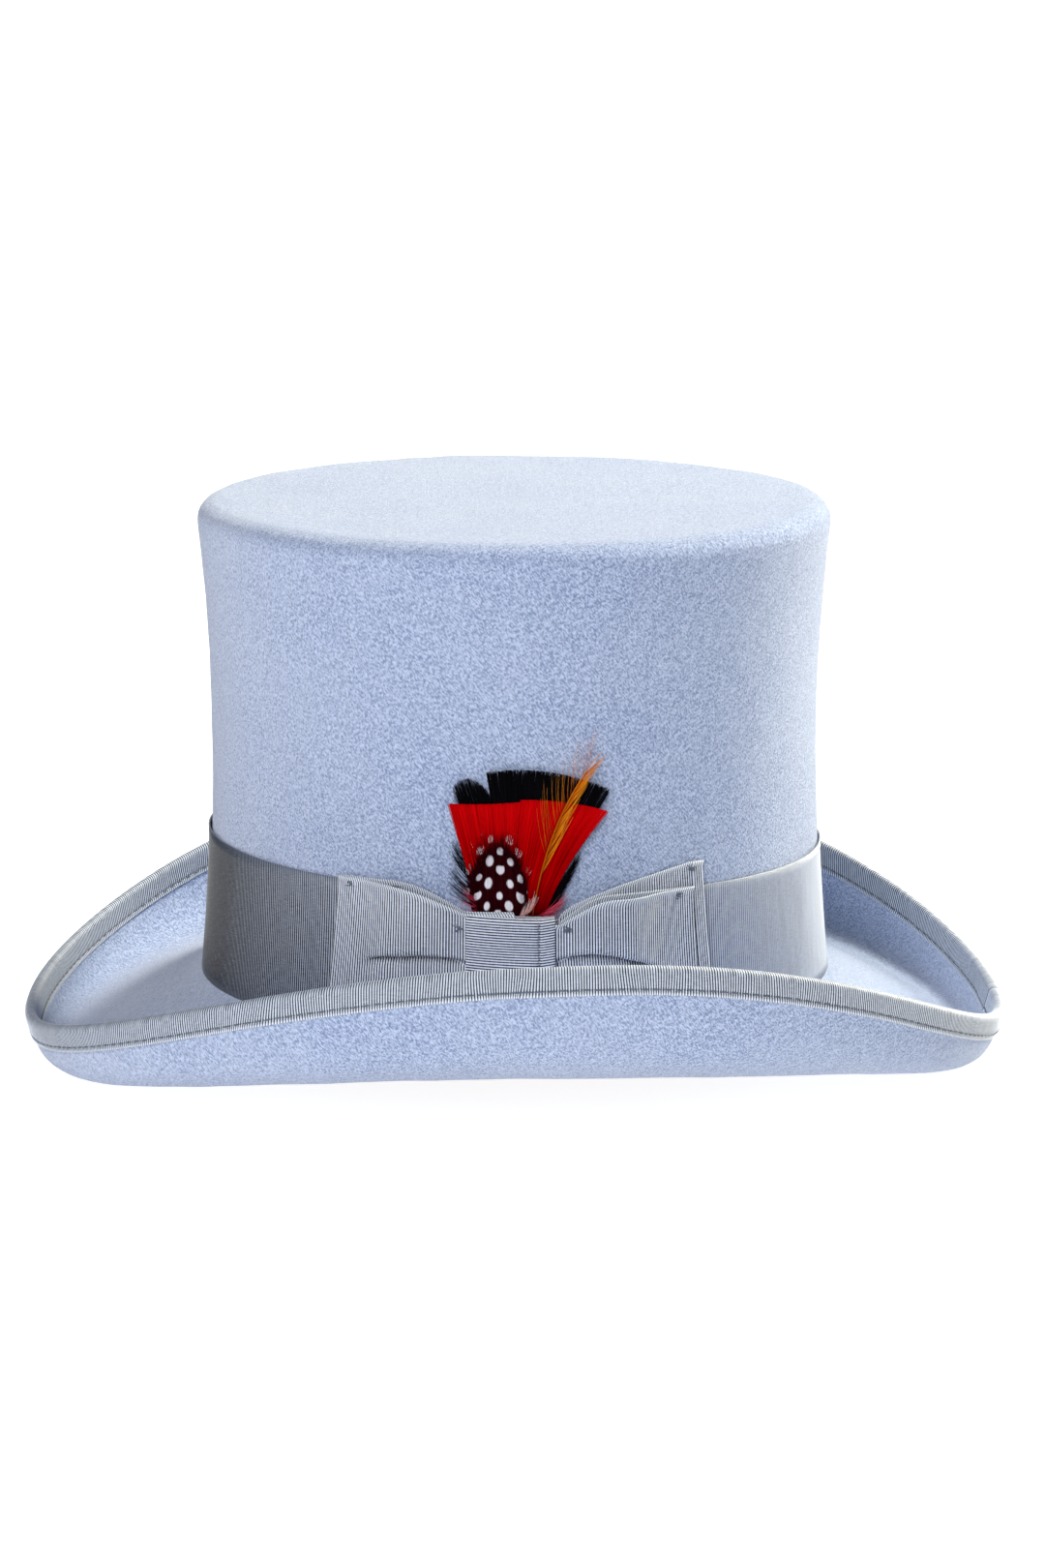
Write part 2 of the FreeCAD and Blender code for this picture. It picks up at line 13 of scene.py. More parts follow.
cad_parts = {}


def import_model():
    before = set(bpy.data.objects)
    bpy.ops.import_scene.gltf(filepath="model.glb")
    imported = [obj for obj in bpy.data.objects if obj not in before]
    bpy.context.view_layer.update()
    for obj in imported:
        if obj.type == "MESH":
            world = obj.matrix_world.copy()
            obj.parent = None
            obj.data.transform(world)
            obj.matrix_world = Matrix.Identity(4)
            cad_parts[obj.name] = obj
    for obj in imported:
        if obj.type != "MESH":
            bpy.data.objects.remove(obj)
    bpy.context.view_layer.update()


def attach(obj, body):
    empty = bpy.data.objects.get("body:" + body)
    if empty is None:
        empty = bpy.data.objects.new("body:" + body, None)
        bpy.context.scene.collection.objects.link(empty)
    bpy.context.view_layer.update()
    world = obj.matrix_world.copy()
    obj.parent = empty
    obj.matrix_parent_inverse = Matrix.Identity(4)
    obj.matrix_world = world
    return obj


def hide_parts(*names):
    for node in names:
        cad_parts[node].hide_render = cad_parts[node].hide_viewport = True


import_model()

METRE = 0.001  # one millimetre in metres

# Felt hood
FELT = 2.5
SEMI_LENGTH = 105.0
SEMI_WIDTH = 89.0
CROWN_HEIGHT = 162.0
WAIST_INSET = 4.5
WAIST_HEIGHT = 85.0
TIP_EDGE_RADIUS = 6.5
RIM_SEMI_LENGTH = 162.5
RIM_SEMI_WIDTH = 125.5
RIM_POWER = 2.3  # of the superellipse that the rim follows
RIM_DROP_END = 9.0
RIM_RISE_SIDE = 35.0
RIM_SKEW = 10.5
BRIM_START_ANGLE = (-17.0, -16.0)
BRIM_RIM_ANGLE = (77.0, 97.0)
BRIM_START_PULL = (0.70, 0.45)
BRIM_RIM_PULL = (0.54, 0.76)
BREAK_TOP = 4.0  # where the wall starts to turn into the brim
BREAK_SHARE = 0.07
BREAK_HANDLE = 2.2
FLOOR_TO_BREAK = 24.2
HALF_FELT = FELT / 2
FELT_SHRINK = 0.1  # keeps the uneven outer face clear of the ribbons on it
RIM_WAY = 4.0  # the felt's way coordinate at the rim
FELT_ROWS = (21, 8, 49, 7, 45)  # of points over the tip, its edge, the wall, the break and the brim
TIP_START = -0.995  # the way of a small ring that a fan of triangles closes
EVEN_UNDER_BINDING = (3.86, 3.9)  # ways between which the felt turns even
FELT_WAVES = ((0.035, 3.0, 0.35), (0.11, 9.0, 0.12))  # scale, seed and height of its unevenness

# Ribbons
RIB_PITCH = 0.85  # one rib of the grosgrain
RIB_RISE = 0.12
RIB_SAMPLES = 4
RIB_STEP = RIB_PITCH / RIB_SAMPLES
BAND_RISE = 0.2
# Painted light on the band: shifts the ribs' pale colour onto one flank, by a share of a rib.
BAND_PAINTED_FLANK_SHIFT = -0.25
RIBBON = 0.5
BINDING = 0.6
BINDING_TOP_WIDTH = 8.5
BINDING_UNDER_WIDTH = 7.6
BINDING_LIFT = 0.1
BINDING_UNEVEN = 0.35
# Shares of a face's width, from its woven edge in to the rim; closer together at the seam.
BINDING_SHARES = (1.0, 0.97, 0.93, 0.86, 0.8, 0.77, 0.73, 0.66, 0.5, 0.3, 0.12)
BINDING_LAP = 0.35  # how much higher the ribbon is where its ends overlap
LAP_STARTS = (0.0, 0.4)
LAP_ENDS = (12.0, 20.0)
BINDING_PULL = 0.5  # how unevenly the seam pulls the ribs
BINDING_LEAN = 0.3  # how far the ribs lean, as a share of the distance in from the rim
BINDING_SELVAGE = (0.4, 0.8)  # distances in from the woven edge over which it fades
SEAM_INSET = 2.0
SEAM_WIDTH = 0.35  # of the dent that the seam makes
STITCH_PITCH = 3.6
STITCH_LENGTH = 2.2
STITCH_RADIUS = 0.26
STITCH_STRAY = 0.25
STITCH_LEVEL = 0.72  # a stitch's level in the binding, as a share of its thickness
TACK_THREADS = 5  # in each tack
TACK_PITCH = 0.32
TACK_REACH = 1.3
TACK_RISE = 0.45
STITCH_RISE = 0.22
STITCH_DIP = 0.12
BAND_BOTTOM = 3.4
BAND_MIDDLE = 25.0
BAND_TOP = 50.0
BAND_TILT = 0.025
BAND_END_LEFT = -47.0
BAND_END_RIGHT = 40.0
SELVAGE = 1.5  # width of the woven edge, where the ribs slant
EDGE_SLANT = 0.7

# Bow, placed by the distance across the crown's left side
GAP = 0.1  # between pieces that touch
KNOT_LEFT = -16.0
KNOT_RIGHT = 11.0
KNOT_FOLD = 6.2  # where the knot's folded end is sewn down
KNOT_BOTTOM = 19.0
KNOT_TOP = 44.0
KNOT_DEPTH = 3.9
KNOT_TILT = 0.7
KNOT_CROWN = 0.9  # how much prouder its middle is than its edges
KNOT_CREASE = 0.55
KNOT_STRIP = 0.25  # how much prouder the sewn-down end is
KNOT_STITCH_PITCH = 2.1
KNOT_STITCH_LENGTH = 1.3
WING_FLAT = 48.0  # past this distance a wing lies flat on the band
LEFT_WING_END = -60.0
RIGHT_WING_END = 58.0
TAIL_END = 62.5
POCKET = 3.5  # room at the knot between the felt and the bow, for the feathers
LAYER_STEP = 0.65
PLEAT_HALF_HEIGHT = 1.5
PLEAT_TUCK = 3.8
PLEAT_HOLLOW = 1.5
PLEAT_STEEPNESS = 2.6
PINCH_REACH = 9.0
# How far across a pleat keeps its full depth, and where it ends.
LEFT_PLEAT_REACH = (34.0, 52.0)
LEFT_PLEAT_DEPTH = 3.4
RIGHT_PLEAT_REACH = (32.0, 48.0)
RIGHT_PLEAT_DEPTH = 3.2
# Height of a pleat at the knot, its first slope and how fast that slope falls.
LEFT_PLEAT_ARCH = (30.4, 0.25, 0.0108)
RIGHT_PLEAT_ARCH = (31.2, 0.28, 0.0145)
FAR_LEVEL = 1.0  # how far off the felt the bow's lowest ribbon lies beyond the knot
# Height at the knot, and how much further a wing opens, over what distance.
WING_BOTTOM = (20.0, 14.0)
LEFT_WING_TOP = (45.0, 7.9)
LEFT_WING_OPENS = 25.0
RIGHT_WING_TOP = (41.5, 7.5)
RIGHT_WING_OPENS = 17.0
TAIL_TOP = (42.4, 14.3)
TAIL_OPENS = 46.0
LEFT_BULGE = 2.4
RIGHT_BULGE = 2.2
SLANT_REACH = (30.0, 60.0)  # over which a wing's ribs lean, and the height of a full lean
SLANT_HEIGHT = 34.0
FOLD_GAP = 1.1  # between the two layers of a wing where it lies flat
HEM = 3.4

# Feather spray
TAB = 0.4
TAB_WIDTH = 12.0
TAB_BOTTOM = 24.0
TAB_TOP = 42.0
VANE_STEP = 0.4
VANE_BASE = 43.5
VANE_LIFT = 0.22
GUINEA_MIDDLE = -6.5
DOT_PITCH = 6.4
DOT_ROW = 3.6
DOT_RADIUS = 0.98
DOT_STRAY = 0.75
DOT_ARCH = 0.035  # how much lower a dot sits for each square millimetre from the middle

# Inside of the crown
LINING = 0.3
LINING_DEPTH = FELT + GAP
LINING_BOTTOM = 22.0
LINING_TOP = 154.0
LINING_FOLD = 1.3  # depth of the satin's folds
SWEATBAND = 0.9
SWEATBAND_BOTTOM = 1.5
SWEATBAND_TOP = 38.0
SWEATBAND_DEPTH = FELT + 3 * GAP + LINING
REED_RADIUS = 0.9
SWEATBAND_STITCHES = 196
HALF_STITCH_TURN = 0.0105  # half the angle that one stitch spans
LABEL_WIDTH = 26.0
LABEL_HEIGHT = 16.0
LABEL_BOTTOM = 17.0
LABEL_THREADS = 2600.0  # in a metre
SMALL_BOW_WIDTH = 20.0
SMALL_BOW_MIDDLE = 10.0
SMALL_BOW_TIED = 5.0  # its height at the middle, and how much taller its ends are
SMALL_BOW_OPENS = 5.0
SMALL_RIBBON = 0.35
SMALL_RIB_RISE = 0.07

STEP = 1e-3  # a small change of angle, share or way, for measuring slopes


# ---------------------------------------------------------------- small tools


def ramp(value, start, end):
    """0 before start, 1 after end, smooth between."""
    share = np.clip((value - start) / (end - start), 0, 1)
    return share * share * (3 - 2 * share)


def hill(value, width):
    """A smooth bump that is 1 at zero."""
    return np.exp(-(value / width) ** 2)


def vectors(x, y, z):
    """One array of points from three arrays that broadcast together."""
    return np.stack(np.broadcast_arrays(x, y, z), axis=-1)


def unit(points):
    length = np.linalg.norm(points, axis=-1, keepdims=True)
    return points / np.maximum(length, 1e-12)


def circle(count):
    """Evenly spaced angles once round."""
    return np.linspace(0, 2 * np.pi, count + 1)[:-1]


def wander(values, scale, seed):
    """Smooth noise along a line, about -1 to 1."""
    line = np.asarray(values, float) * scale
    found = [noise.noise((float(v), seed * 7.31, seed * 1.7)) for v in line.ravel()]
    return np.array(found).reshape(line.shape)


def cloud(points, scale, seed):
    """Smooth noise at points in space, about -1 to 1."""
    flat = points.reshape(-1, 3) * scale
    found = [noise.noise((x + seed, y - seed, z)) for x, y, z in flat.tolist()]
    return np.array(found).reshape(points.shape[:-1])


# ---------------------------------------------------------------- the hat's surface


def mix(pair, angle):
    """The first value in front and behind, the second at the sides, and smooth between them."""
    side = np.sin(angle) ** 2
    return pair[0] * (1 - side) + pair[1] * side


def crown_inset(height):
    """How far in the wall is at a height above the break: most at the waist."""
    low = 1 - (1 - height / WAIST_HEIGHT) ** 2
    high = 1 - ((height - WAIST_HEIGHT) / (CROWN_HEIGHT - WAIST_HEIGHT)) ** 2
    return WAIST_INSET * np.where(height < WAIST_HEIGHT, low, high)


def wall_point(angle, height, out):
    """Points at a distance out of the crown's outer face."""
    grow = out - crown_inset(height)
    x = (SEMI_LENGTH + grow) * np.cos(angle)
    y = (SEMI_WIDTH + grow) * np.sin(angle)
    return vectors(x, y, FLOOR_TO_BREAK + height)


TIP_RADIUS = TIP_EDGE_RADIUS - HALF_FELT
FLARE = 2 * np.arctan(WAIST_INSET / (CROWN_HEIGHT - WAIST_HEIGHT))
TIP_ARC_MIDDLE = CROWN_HEIGHT - HALF_FELT - TIP_RADIUS
WALL_TOP = TIP_ARC_MIDDLE - TIP_RADIUS * np.sin(FLARE)


def tip_edge_point(angle, share):
    """The rounded edge of the tip; below zero, share runs in over the flat tip to its middle at -1."""
    turn = np.pi / 2 + FLARE
    bend = np.clip(share, 0, 1) * turn
    start = -HALF_FELT - crown_inset(WALL_TOP) - TIP_RADIUS * np.sin(turn)
    out = start + TIP_RADIUS * np.sin(bend)
    shrink = 1 + np.minimum(share, 0)
    x = (SEMI_LENGTH + out) * np.cos(angle) * shrink
    y = (SEMI_WIDTH + out) * np.sin(angle) * shrink
    return vectors(x, y, FLOOR_TO_BREAK + TIP_ARC_MIDDLE + TIP_RADIUS * np.cos(bend))


def rim_height(angle):
    """Height of the rim above the break: up at the sides, down in front and behind."""
    side = np.sin(angle) ** 2
    skew = RIM_SKEW * np.cos(angle) * side * (1 - np.sin(angle)) / 2
    return RIM_RISE_SIDE * side - RIM_DROP_END * (1 - side) + skew


def brim_point(angle, share):
    """The brim's middle surface: a Bezier curve from the break down, out and up to the rim."""
    c = np.cos(angle)
    s = np.sin(angle)
    power = 2 / RIM_POWER
    base_x = SEMI_LENGTH * c
    base_y = SEMI_WIDTH * s
    run_x = RIM_SEMI_LENGTH * np.sign(c) * np.abs(c) ** power - base_x
    run_y = RIM_SEMI_WIDTH * np.sign(s) * np.abs(s) ** power - base_y
    reach = np.hypot(run_x, run_y)
    rise = rim_height(angle)
    chord = np.hypot(reach, rise)
    start = np.radians(mix(BRIM_START_ANGLE, angle))
    finish = np.radians(mix(BRIM_RIM_ANGLE, angle))
    first = chord * mix(BRIM_START_PULL, angle)
    last = chord * mix(BRIM_RIM_PULL, angle)
    near = 3 * (1 - share) ** 2 * share
    far = 3 * (1 - share) * share ** 2
    end = share ** 3
    out = near * first * np.cos(start) + far * (reach - last * np.cos(finish)) + end * reach
    up = near * first * np.sin(start) + far * (rise - last * np.sin(finish)) + end * rise
    x = base_x + run_x * out / reach
    y = base_y + run_y * out / reach
    return vectors(x, y, FLOOR_TO_BREAK + up)


def break_point(angle, share):
    """The tight turn from the wall into the brim."""
    top = wall_point(angle, BREAK_TOP, -HALF_FELT)
    above = wall_point(angle, BREAK_TOP + STEP, -HALF_FELT)
    bottom = brim_point(angle, BREAK_SHARE)
    beyond = brim_point(angle, BREAK_SHARE + STEP)
    top_handle = top + unit(top - above) * BREAK_HANDLE
    bottom_handle = bottom - unit(beyond - bottom) * BREAK_HANDLE
    share = np.asarray(share)[..., None]
    rest = 1 - share
    middle = top_handle * (3 * rest ** 2 * share) + bottom_handle * (3 * rest * share ** 2)
    return top * rest ** 3 + middle + bottom * share ** 3


def felt_middle(angle, way):
    """The felt's middle surface. way runs -1 to 0 over the flat tip, to 1 over its edge, to 2 down the
    wall, to 3 round the break and to 4 out to the rim."""
    angle, way = np.broadcast_arrays(np.asarray(angle, float), np.asarray(way, float))
    height = WALL_TOP + (BREAK_TOP - WALL_TOP) * (way - 1)
    points = np.where((way < 1)[..., None], tip_edge_point(angle, way), wall_point(angle, height, -HALF_FELT))
    points = np.where((way >= 2)[..., None], break_point(angle, np.clip(way - 2, 0, 1)), points)
    share = BREAK_SHARE + (1 - BREAK_SHARE) * (way - 3)
    return np.where((way >= 3)[..., None], brim_point(angle, share), points)


def felt_normal(angle, way):
    """Unit normals of the middle surface, out of the crown and up from the brim."""
    around = felt_middle(angle + STEP, way) - felt_middle(angle - STEP, way)
    along = felt_middle(angle, way + STEP) - felt_middle(angle, way - STEP)
    return unit(np.cross(along, around))


def felt_point(angle, way, out):
    """Points off the middle surface; positive is outside the crown and above the brim."""
    return felt_middle(angle, way) + felt_normal(angle, way) * np.asarray(out)[..., None]


def way_from_rim(angle, distance):
    """The way coordinate of points on the brim at a distance in from the rim."""
    step = felt_middle(angle, RIM_WAY) - felt_middle(angle, RIM_WAY - STEP)
    return RIM_WAY - distance * STEP / np.linalg.norm(step, axis=-1)


def even_angles(count, path, start=0.0, turn=2 * np.pi):
    """count + 1 angles spaced evenly along path(angle), from start through turn."""
    fine = start + turn * np.linspace(0, 1, 4001)
    steps = np.linalg.norm(np.diff(path(fine), axis=0), axis=1)
    run = np.concatenate([[0], np.cumsum(steps)])
    return np.interp(np.linspace(0, run[-1], count + 1), run, fine), run[-1]


def rib_angles(path, start=0.0, turn=2 * np.pi):
    """Angles at even parts of a rib along path(angle), a whole number of ribs in all, and its length."""
    length = even_angles(1, path, start, turn)[1]
    return even_angles(round(length / RIB_PITCH) * RIB_SAMPLES, path, start, turn)


SIDE_TABLE = np.linspace(-np.pi * 0.95, -np.pi * 0.05, 2001)
SIDE_RUN = np.concatenate(
    [[0], np.cumsum(np.hypot(SEMI_LENGTH * np.sin(SIDE_TABLE[1:]), SEMI_WIDTH * np.cos(SIDE_TABLE[1:])))]
) * (SIDE_TABLE[1] - SIDE_TABLE[0])
SIDE_RUN -= np.interp(-np.pi / 2, SIDE_TABLE, SIDE_RUN)


def side_point(across, height, out):
    """Points over the crown's left side, by the distance across it from its middle."""
    return wall_point(np.interp(across, SIDE_RUN, SIDE_TABLE), height, out)


# ---------------------------------------------------------------- meshes


def mesh_object(name, points, faces, material):
    """A smooth mesh object from points in metres."""
    mesh = bpy.data.meshes.new(name)
    mesh.from_pydata(points.tolist(), [], faces)
    mesh.polygons.foreach_set("use_smooth", [True] * len(mesh.polygons))
    mesh.materials.append(material)
    piece = bpy.data.objects.new(name, mesh)
    bpy.context.scene.collection.objects.link(piece)
    return piece


def make_object(name, points, faces, material, body, stands_for=()):
    """A mesh object from points in millimetres, riding on a CAD body."""
    piece = mesh_object(name, points * METRE, faces, material)
    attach(piece, body)
    if stands_for:
        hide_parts(*stands_for)
    return piece


def point_value(piece, name, values):
    """Stores one number per point, which the materials read by name."""
    attribute = piece.data.attributes.new(name, "FLOAT", "POINT")
    attribute.data.foreach_set("value", np.asarray(values, np.float32).ravel())


def point_vector(piece, name, values):
    attribute = piece.data.attributes.new(name, "FLOAT_VECTOR", "POINT")
    attribute.data.foreach_set("vector", np.asarray(values, np.float32).ravel())


def grid_faces(rows, columns, close_rows=False, close_columns=False, flip=False, first=0):
    """Quads over a grid of points stored row by row."""
    i = np.arange(rows if close_rows else rows - 1)
    j = np.arange(columns if close_columns else columns - 1)
    i, j = np.meshgrid(i, j, indexing="ij")
    i2 = (i + 1) % rows
    j2 = (j + 1) % columns
    corners = [i * columns + j, i2 * columns + j, i2 * columns + j2, i * columns + j2]
    if flip:
        corners = corners[::-1]
    return (np.stack(corners, axis=-1).reshape(-1, 4) + first).tolist()


def closed_sheet(front, back, close_rows=False):
    """Points and faces of a thick sheet between two grids of points with the same shape."""
    rows, columns = front.shape[:2]
    count = rows * columns
    faces = grid_faces(rows, columns, close_rows)
    faces += grid_faces(rows, columns, close_rows, flip=True, first=count)
    index = np.arange(count).reshape(rows, columns)
    faces += rim_faces(index[:, 0], count, close_rows, True)
    faces += rim_faces(index[:, -1], count, close_rows, False)
    if not close_rows:
        faces += rim_faces(index[0, :], count, False, False)
        faces += rim_faces(index[-1, :], count, False, True)
    points = np.concatenate([front.reshape(-1, 3), back.reshape(-1, 3)])
    return points, faces


def rim_faces(line, count, closed, flip):
    """Quads that join one edge of a sheet's front to its back."""
    after = np.roll(line, -1)
    if not closed:
        line, after = line[:-1], after[:-1]
    corners = [line, after, after + count, line + count]
    if flip:
        corners = corners[::-1]
    return np.stack(corners, axis=-1).tolist()


def grid_normals(points, close_rows=False):
    """Unit normals of a grid of points."""
    if close_rows:
        along = np.roll(points, -1, axis=0) - np.roll(points, 1, axis=0)
    else:
        along = np.gradient(points, axis=0)
    across = np.gradient(points, axis=1)
    return unit(np.cross(along, across))


# ---------------------------------------------------------------- node helpers


class Nodes:
    """Short calls for building a material's node tree."""

    def __init__(self, name):
        self.material = bpy.data.materials.new(name)
        self.material.use_nodes = True
        self.tree = self.material.node_tree
        self.tree.nodes.clear()
        self.output = self.add("ShaderNodeOutputMaterial")
        self.surface = self.add("ShaderNodeBsdfPrincipled")
        self.link(self.surface, 0, self.output, "Surface")

    def add(self, kind, **settings):
        node = self.tree.nodes.new(kind)
        for key, value in settings.items():
            setattr(node, key, value)
        return node

    def link(self, source, output, target, entry):
        self.tree.links.new(source.outputs[output], target.inputs[entry])

    def feed(self, node, entry, value):
        """Sets an input to a number or colour, or links it to (node, output)."""
        if isinstance(value, tuple) and len(value) == 2 and hasattr(value[0], "outputs"):
            self.link(value[0], value[1], node, entry)
        else:
            node.inputs[entry].default_value = value

    def math(self, operation, first, second=0.0):
        node = self.add("ShaderNodeMath", operation=operation)
        self.feed(node, 0, first)
        self.feed(node, 1, second)
        return node, 0

    def attribute(self, name, output="Fac"):
        node = self.add("ShaderNodeAttribute", attribute_name=name)
        return node, output

    def place(self, scale=(1, 1, 1), turn=(0, 0, 0), source=None):
        """Object coordinates, or a stored vector, scaled and turned."""
        node = self.add("ShaderNodeMapping")
        if source is None:
            source = (self.add("ShaderNodeTexCoord"), "Object")
        self.feed(node, "Vector", source)
        node.inputs["Scale"].default_value = scale
        node.inputs["Rotation"].default_value = turn
        return node, 0

    def noise(self, where, scale, detail=2.0, roughness=0.5):
        node = self.add("ShaderNodeTexNoise")
        self.feed(node, "Vector", where)
        self.feed(node, "Scale", scale)
        self.feed(node, "Detail", detail)
        self.feed(node, "Roughness", roughness)
        return node, 0

    def blend(self, share, first, second):
        """Mixes two colours."""
        node = self.add("ShaderNodeMix", data_type="RGBA")
        self.feed(node, 0, share)
        self.feed(node, 6, first)
        self.feed(node, 7, second)
        return node, 2

    def bend(self, value, low, high, new_low=0.0, new_high=1.0):
        """Maps a range of numbers onto another."""
        node = self.add("ShaderNodeMapRange")
        self.feed(node, "Value", value)
        self.feed(node, "From Min", low)
        self.feed(node, "From Max", high)
        self.feed(node, "To Min", new_low)
        self.feed(node, "To Max", new_high)
        return node, 0

    def bump(self, height, distance, strength):
        node = self.add("ShaderNodeBump")
        self.feed(node, "Height", height)
        self.feed(node, "Distance", distance)
        self.feed(node, "Strength", strength)
        return node, 0

    def finish(self, **inputs):
        """Feeds the surface shader; a name's underscores stand for spaces."""
        for name, value in inputs.items():
            self.feed(self.surface, name.replace("_", " "), value)
        return self.material


def colour(red, green, blue):
    """A colour from its usual 0-255 values, in linear light."""
    linear = [value / 255 / 12.92 if value < 10.3 else ((value / 255 + 0.055) / 1.055) ** 2.4
              for value in (red, green, blue)]
    return (*linear, 1.0)


# ---------------------------------------------------------------- materials


def felt_material():
    """Wool felt: fine matted fibres that lie aslant, faint clouding, and a soft sheen of loose fibre."""
    n = Nodes("felt")
    leaning = n.place(turn=(0.0, radians(35), radians(20)))
    fibres = n.noise(n.place((1.0, 1.0, 0.33), source=leaning), 2600.0, 2.0, 0.6)
    crossing = n.place(turn=(radians(30), radians(-50), 0.0))
    lint = n.noise(n.place((1.0, 1.0, 0.35), source=crossing), 1300.0, 3.0, 0.6)
    clouds = n.noise(n.place(), 28.0, 3.0, 0.55)
    shade = n.math("ADD", n.math("MULTIPLY", fibres, 0.68), n.math("MULTIPLY", lint, 0.32))
    base = n.blend(n.bend(shade, 0.4, 0.6), colour(118, 136, 178), colour(194, 208, 238))
    base = n.blend(n.bend(clouds, 0.35, 0.65, 0.0, 0.1), base, colour(205, 214, 232))
    normal = n.bump(n.math("ADD", fibres, n.math("MULTIPLY", lint, 0.7)), 0.0007, 1.0)
    return n.finish(Base_Color=base, Roughness=0.95, Specular_IOR_Level=0.12, Sheen_Weight=0.6,
                    Sheen_Roughness=0.35, Sheen_Tint=colour(250, 250, 250), Normal=normal)


def grosgrain_material(name, valley, ridge, edge, gloss):
    """Ribbed ribbon. The ribs are in the mesh; "rib" is 1 where the pale colour goes, on a rib's crest or
    shifted onto one flank as painted light, and is lowered where painted shade fills a pleat's crease or the
    binding's seam; "weave" holds the distances along and across the ribbon in millimetres."""
    n = Nodes(name)
    rib = n.attribute("rib")
    weave = n.attribute("weave", "Vector")
    warp = n.noise(n.place((0.35, 4.5, 1.0), source=weave), 1.0, 2.0, 0.6)
    streak = n.noise(n.place((0.9, 0.05, 1.0), source=weave), 1.0, 2.0, 0.5)
    tone = n.math("ADD", rib, n.math("MULTIPLY", n.math("SUBTRACT", warp, 0.5), 0.7))
    base = n.blend(n.bend(tone, 0.36, 0.66), valley, ridge)
    base = n.blend(n.bend(streak, 0.35, 0.65, 0.0, 0.14), base, valley)
    base = n.blend(n.math("MULTIPLY", n.attribute("woven_edge"), n.bend(rib, 0.1, 0.7)), base, edge)
    normal = n.bump(warp, 0.00012, 0.6)
    return n.finish(Base_Color=base, Roughness=gloss, Specular_IOR_Level=0.5, Sheen_Weight=0.2,
                    Sheen_Roughness=0.4, Normal=normal)


def thread_material():
    """Grey sewing thread with a fine twist."""
    n = Nodes("seam_thread")
    twist = n.noise(n.place(), 4000.0, 2.0)
    base = n.blend(n.bend(twist, 0.3, 0.7), colour(44, 54, 72), colour(120, 130, 148))
    return n.finish(Base_Color=base, Roughness=0.7, Normal=n.bump(twist, 0.0001, 0.7))


def satin_material():
    """Satin lining: smooth, with fine threads that run up the crown."""
    n = Nodes("lining_satin")
    thread = n.noise(n.place((2600.0, 2600.0, 60.0)), 1.0, 2.0, 0.5)
    cloud_tone = n.noise(n.place(), 40.0, 2.0, 0.5)
    base = n.blend(n.bend(thread, 0.3, 0.7), colour(168, 180, 204), colour(206, 216, 234))
    base = n.blend(n.bend(cloud_tone, 0.4, 0.6, 0.0, 0.2), base, colour(222, 228, 240))
    return n.finish(Base_Color=base, Roughness=0.28, Specular_IOR_Level=0.6, Sheen_Weight=0.2,
                    Normal=n.bump(thread, 0.00005, 0.5))


def leather_material():
    """Sweatband leather: tan, with pores, fine creases and darker worn patches."""
    n = Nodes("sweatband_leather")
    pores = n.add("ShaderNodeTexVoronoi", feature="F1")
    n.feed(pores, "Vector", n.place())
    n.feed(pores, "Scale", 1300.0)
    crease = n.noise(n.place(), 500.0, 4.0, 0.6)
    wear = n.noise(n.place(), 35.0, 3.0, 0.55)
    base = n.blend(n.bend(wear, 0.35, 0.7), colour(176, 136, 98), colour(140, 98, 64))
    base = n.blend(n.bend((pores, "Distance"), 0.0, 0.35, 0.45, 0.0), base, colour(96, 64, 40))
    height = n.math("ADD", (pores, "Distance"), n.math("MULTIPLY", crease, 0.6))
    return n.finish(Base_Color=base, Roughness=n.bend(wear, 0.3, 0.7, 0.42, 0.58),
                    Specular_IOR_Level=0.45, Normal=n.bump(height, 0.0002, 0.7))


def label_material():
    """A fine plain weave, for the blank label."""
    n = Nodes("label_weave")
    threads = []
    for direction in "XZ":
        wave = n.add("ShaderNodeTexWave", wave_type="BANDS", bands_direction=direction)
        n.feed(wave, "Vector", n.place([LABEL_THREADS] * 3))
        n.feed(wave, "Scale", 0.32)
        threads.append((wave, "Fac"))
    cross = n.math("MULTIPLY", *threads)
    base = n.blend(cross, colour(206, 200, 186), colour(240, 236, 226))
    return n.finish(Base_Color=base, Roughness=0.65, Normal=n.bump(cross, 0.0001, 0.6))


def plain_material(name, low, high, roughness, scale):
    """A surface with a little mottling and grain, for card and plastic."""
    n = Nodes(name)
    grain = n.noise(n.place(), scale, 3.0, 0.6)
    base = n.blend(n.bend(grain, 0.35, 0.65), low, high)
    return n.finish(Base_Color=base, Roughness=roughness, Normal=n.bump(grain, 0.00008, 0.6))


def feather_material(name, dark, light, tip, root):
    """Barbs: "tint" differs from barb to barb, "along" runs from root to tip, "spot" marks white."""
    n = Nodes(name)
    tint = n.attribute("tint")
    along = n.attribute("along")
    spot = n.attribute("spot")
    base = n.blend(tint, dark, light)
    base = n.blend(n.bend(along, 0.55, 1.0), base, tip)
    base = n.blend(n.bend(along, 0.35, 0.0), base, root)
    base = n.blend(spot, base, colour(226, 224, 234))
    fine = n.noise(n.place(), 3500.0, 2.0)
    return n.finish(Base_Color=base, Roughness=0.6, Specular_IOR_Level=0.0, Normal=n.bump(fine, 0.0001, 0.5))


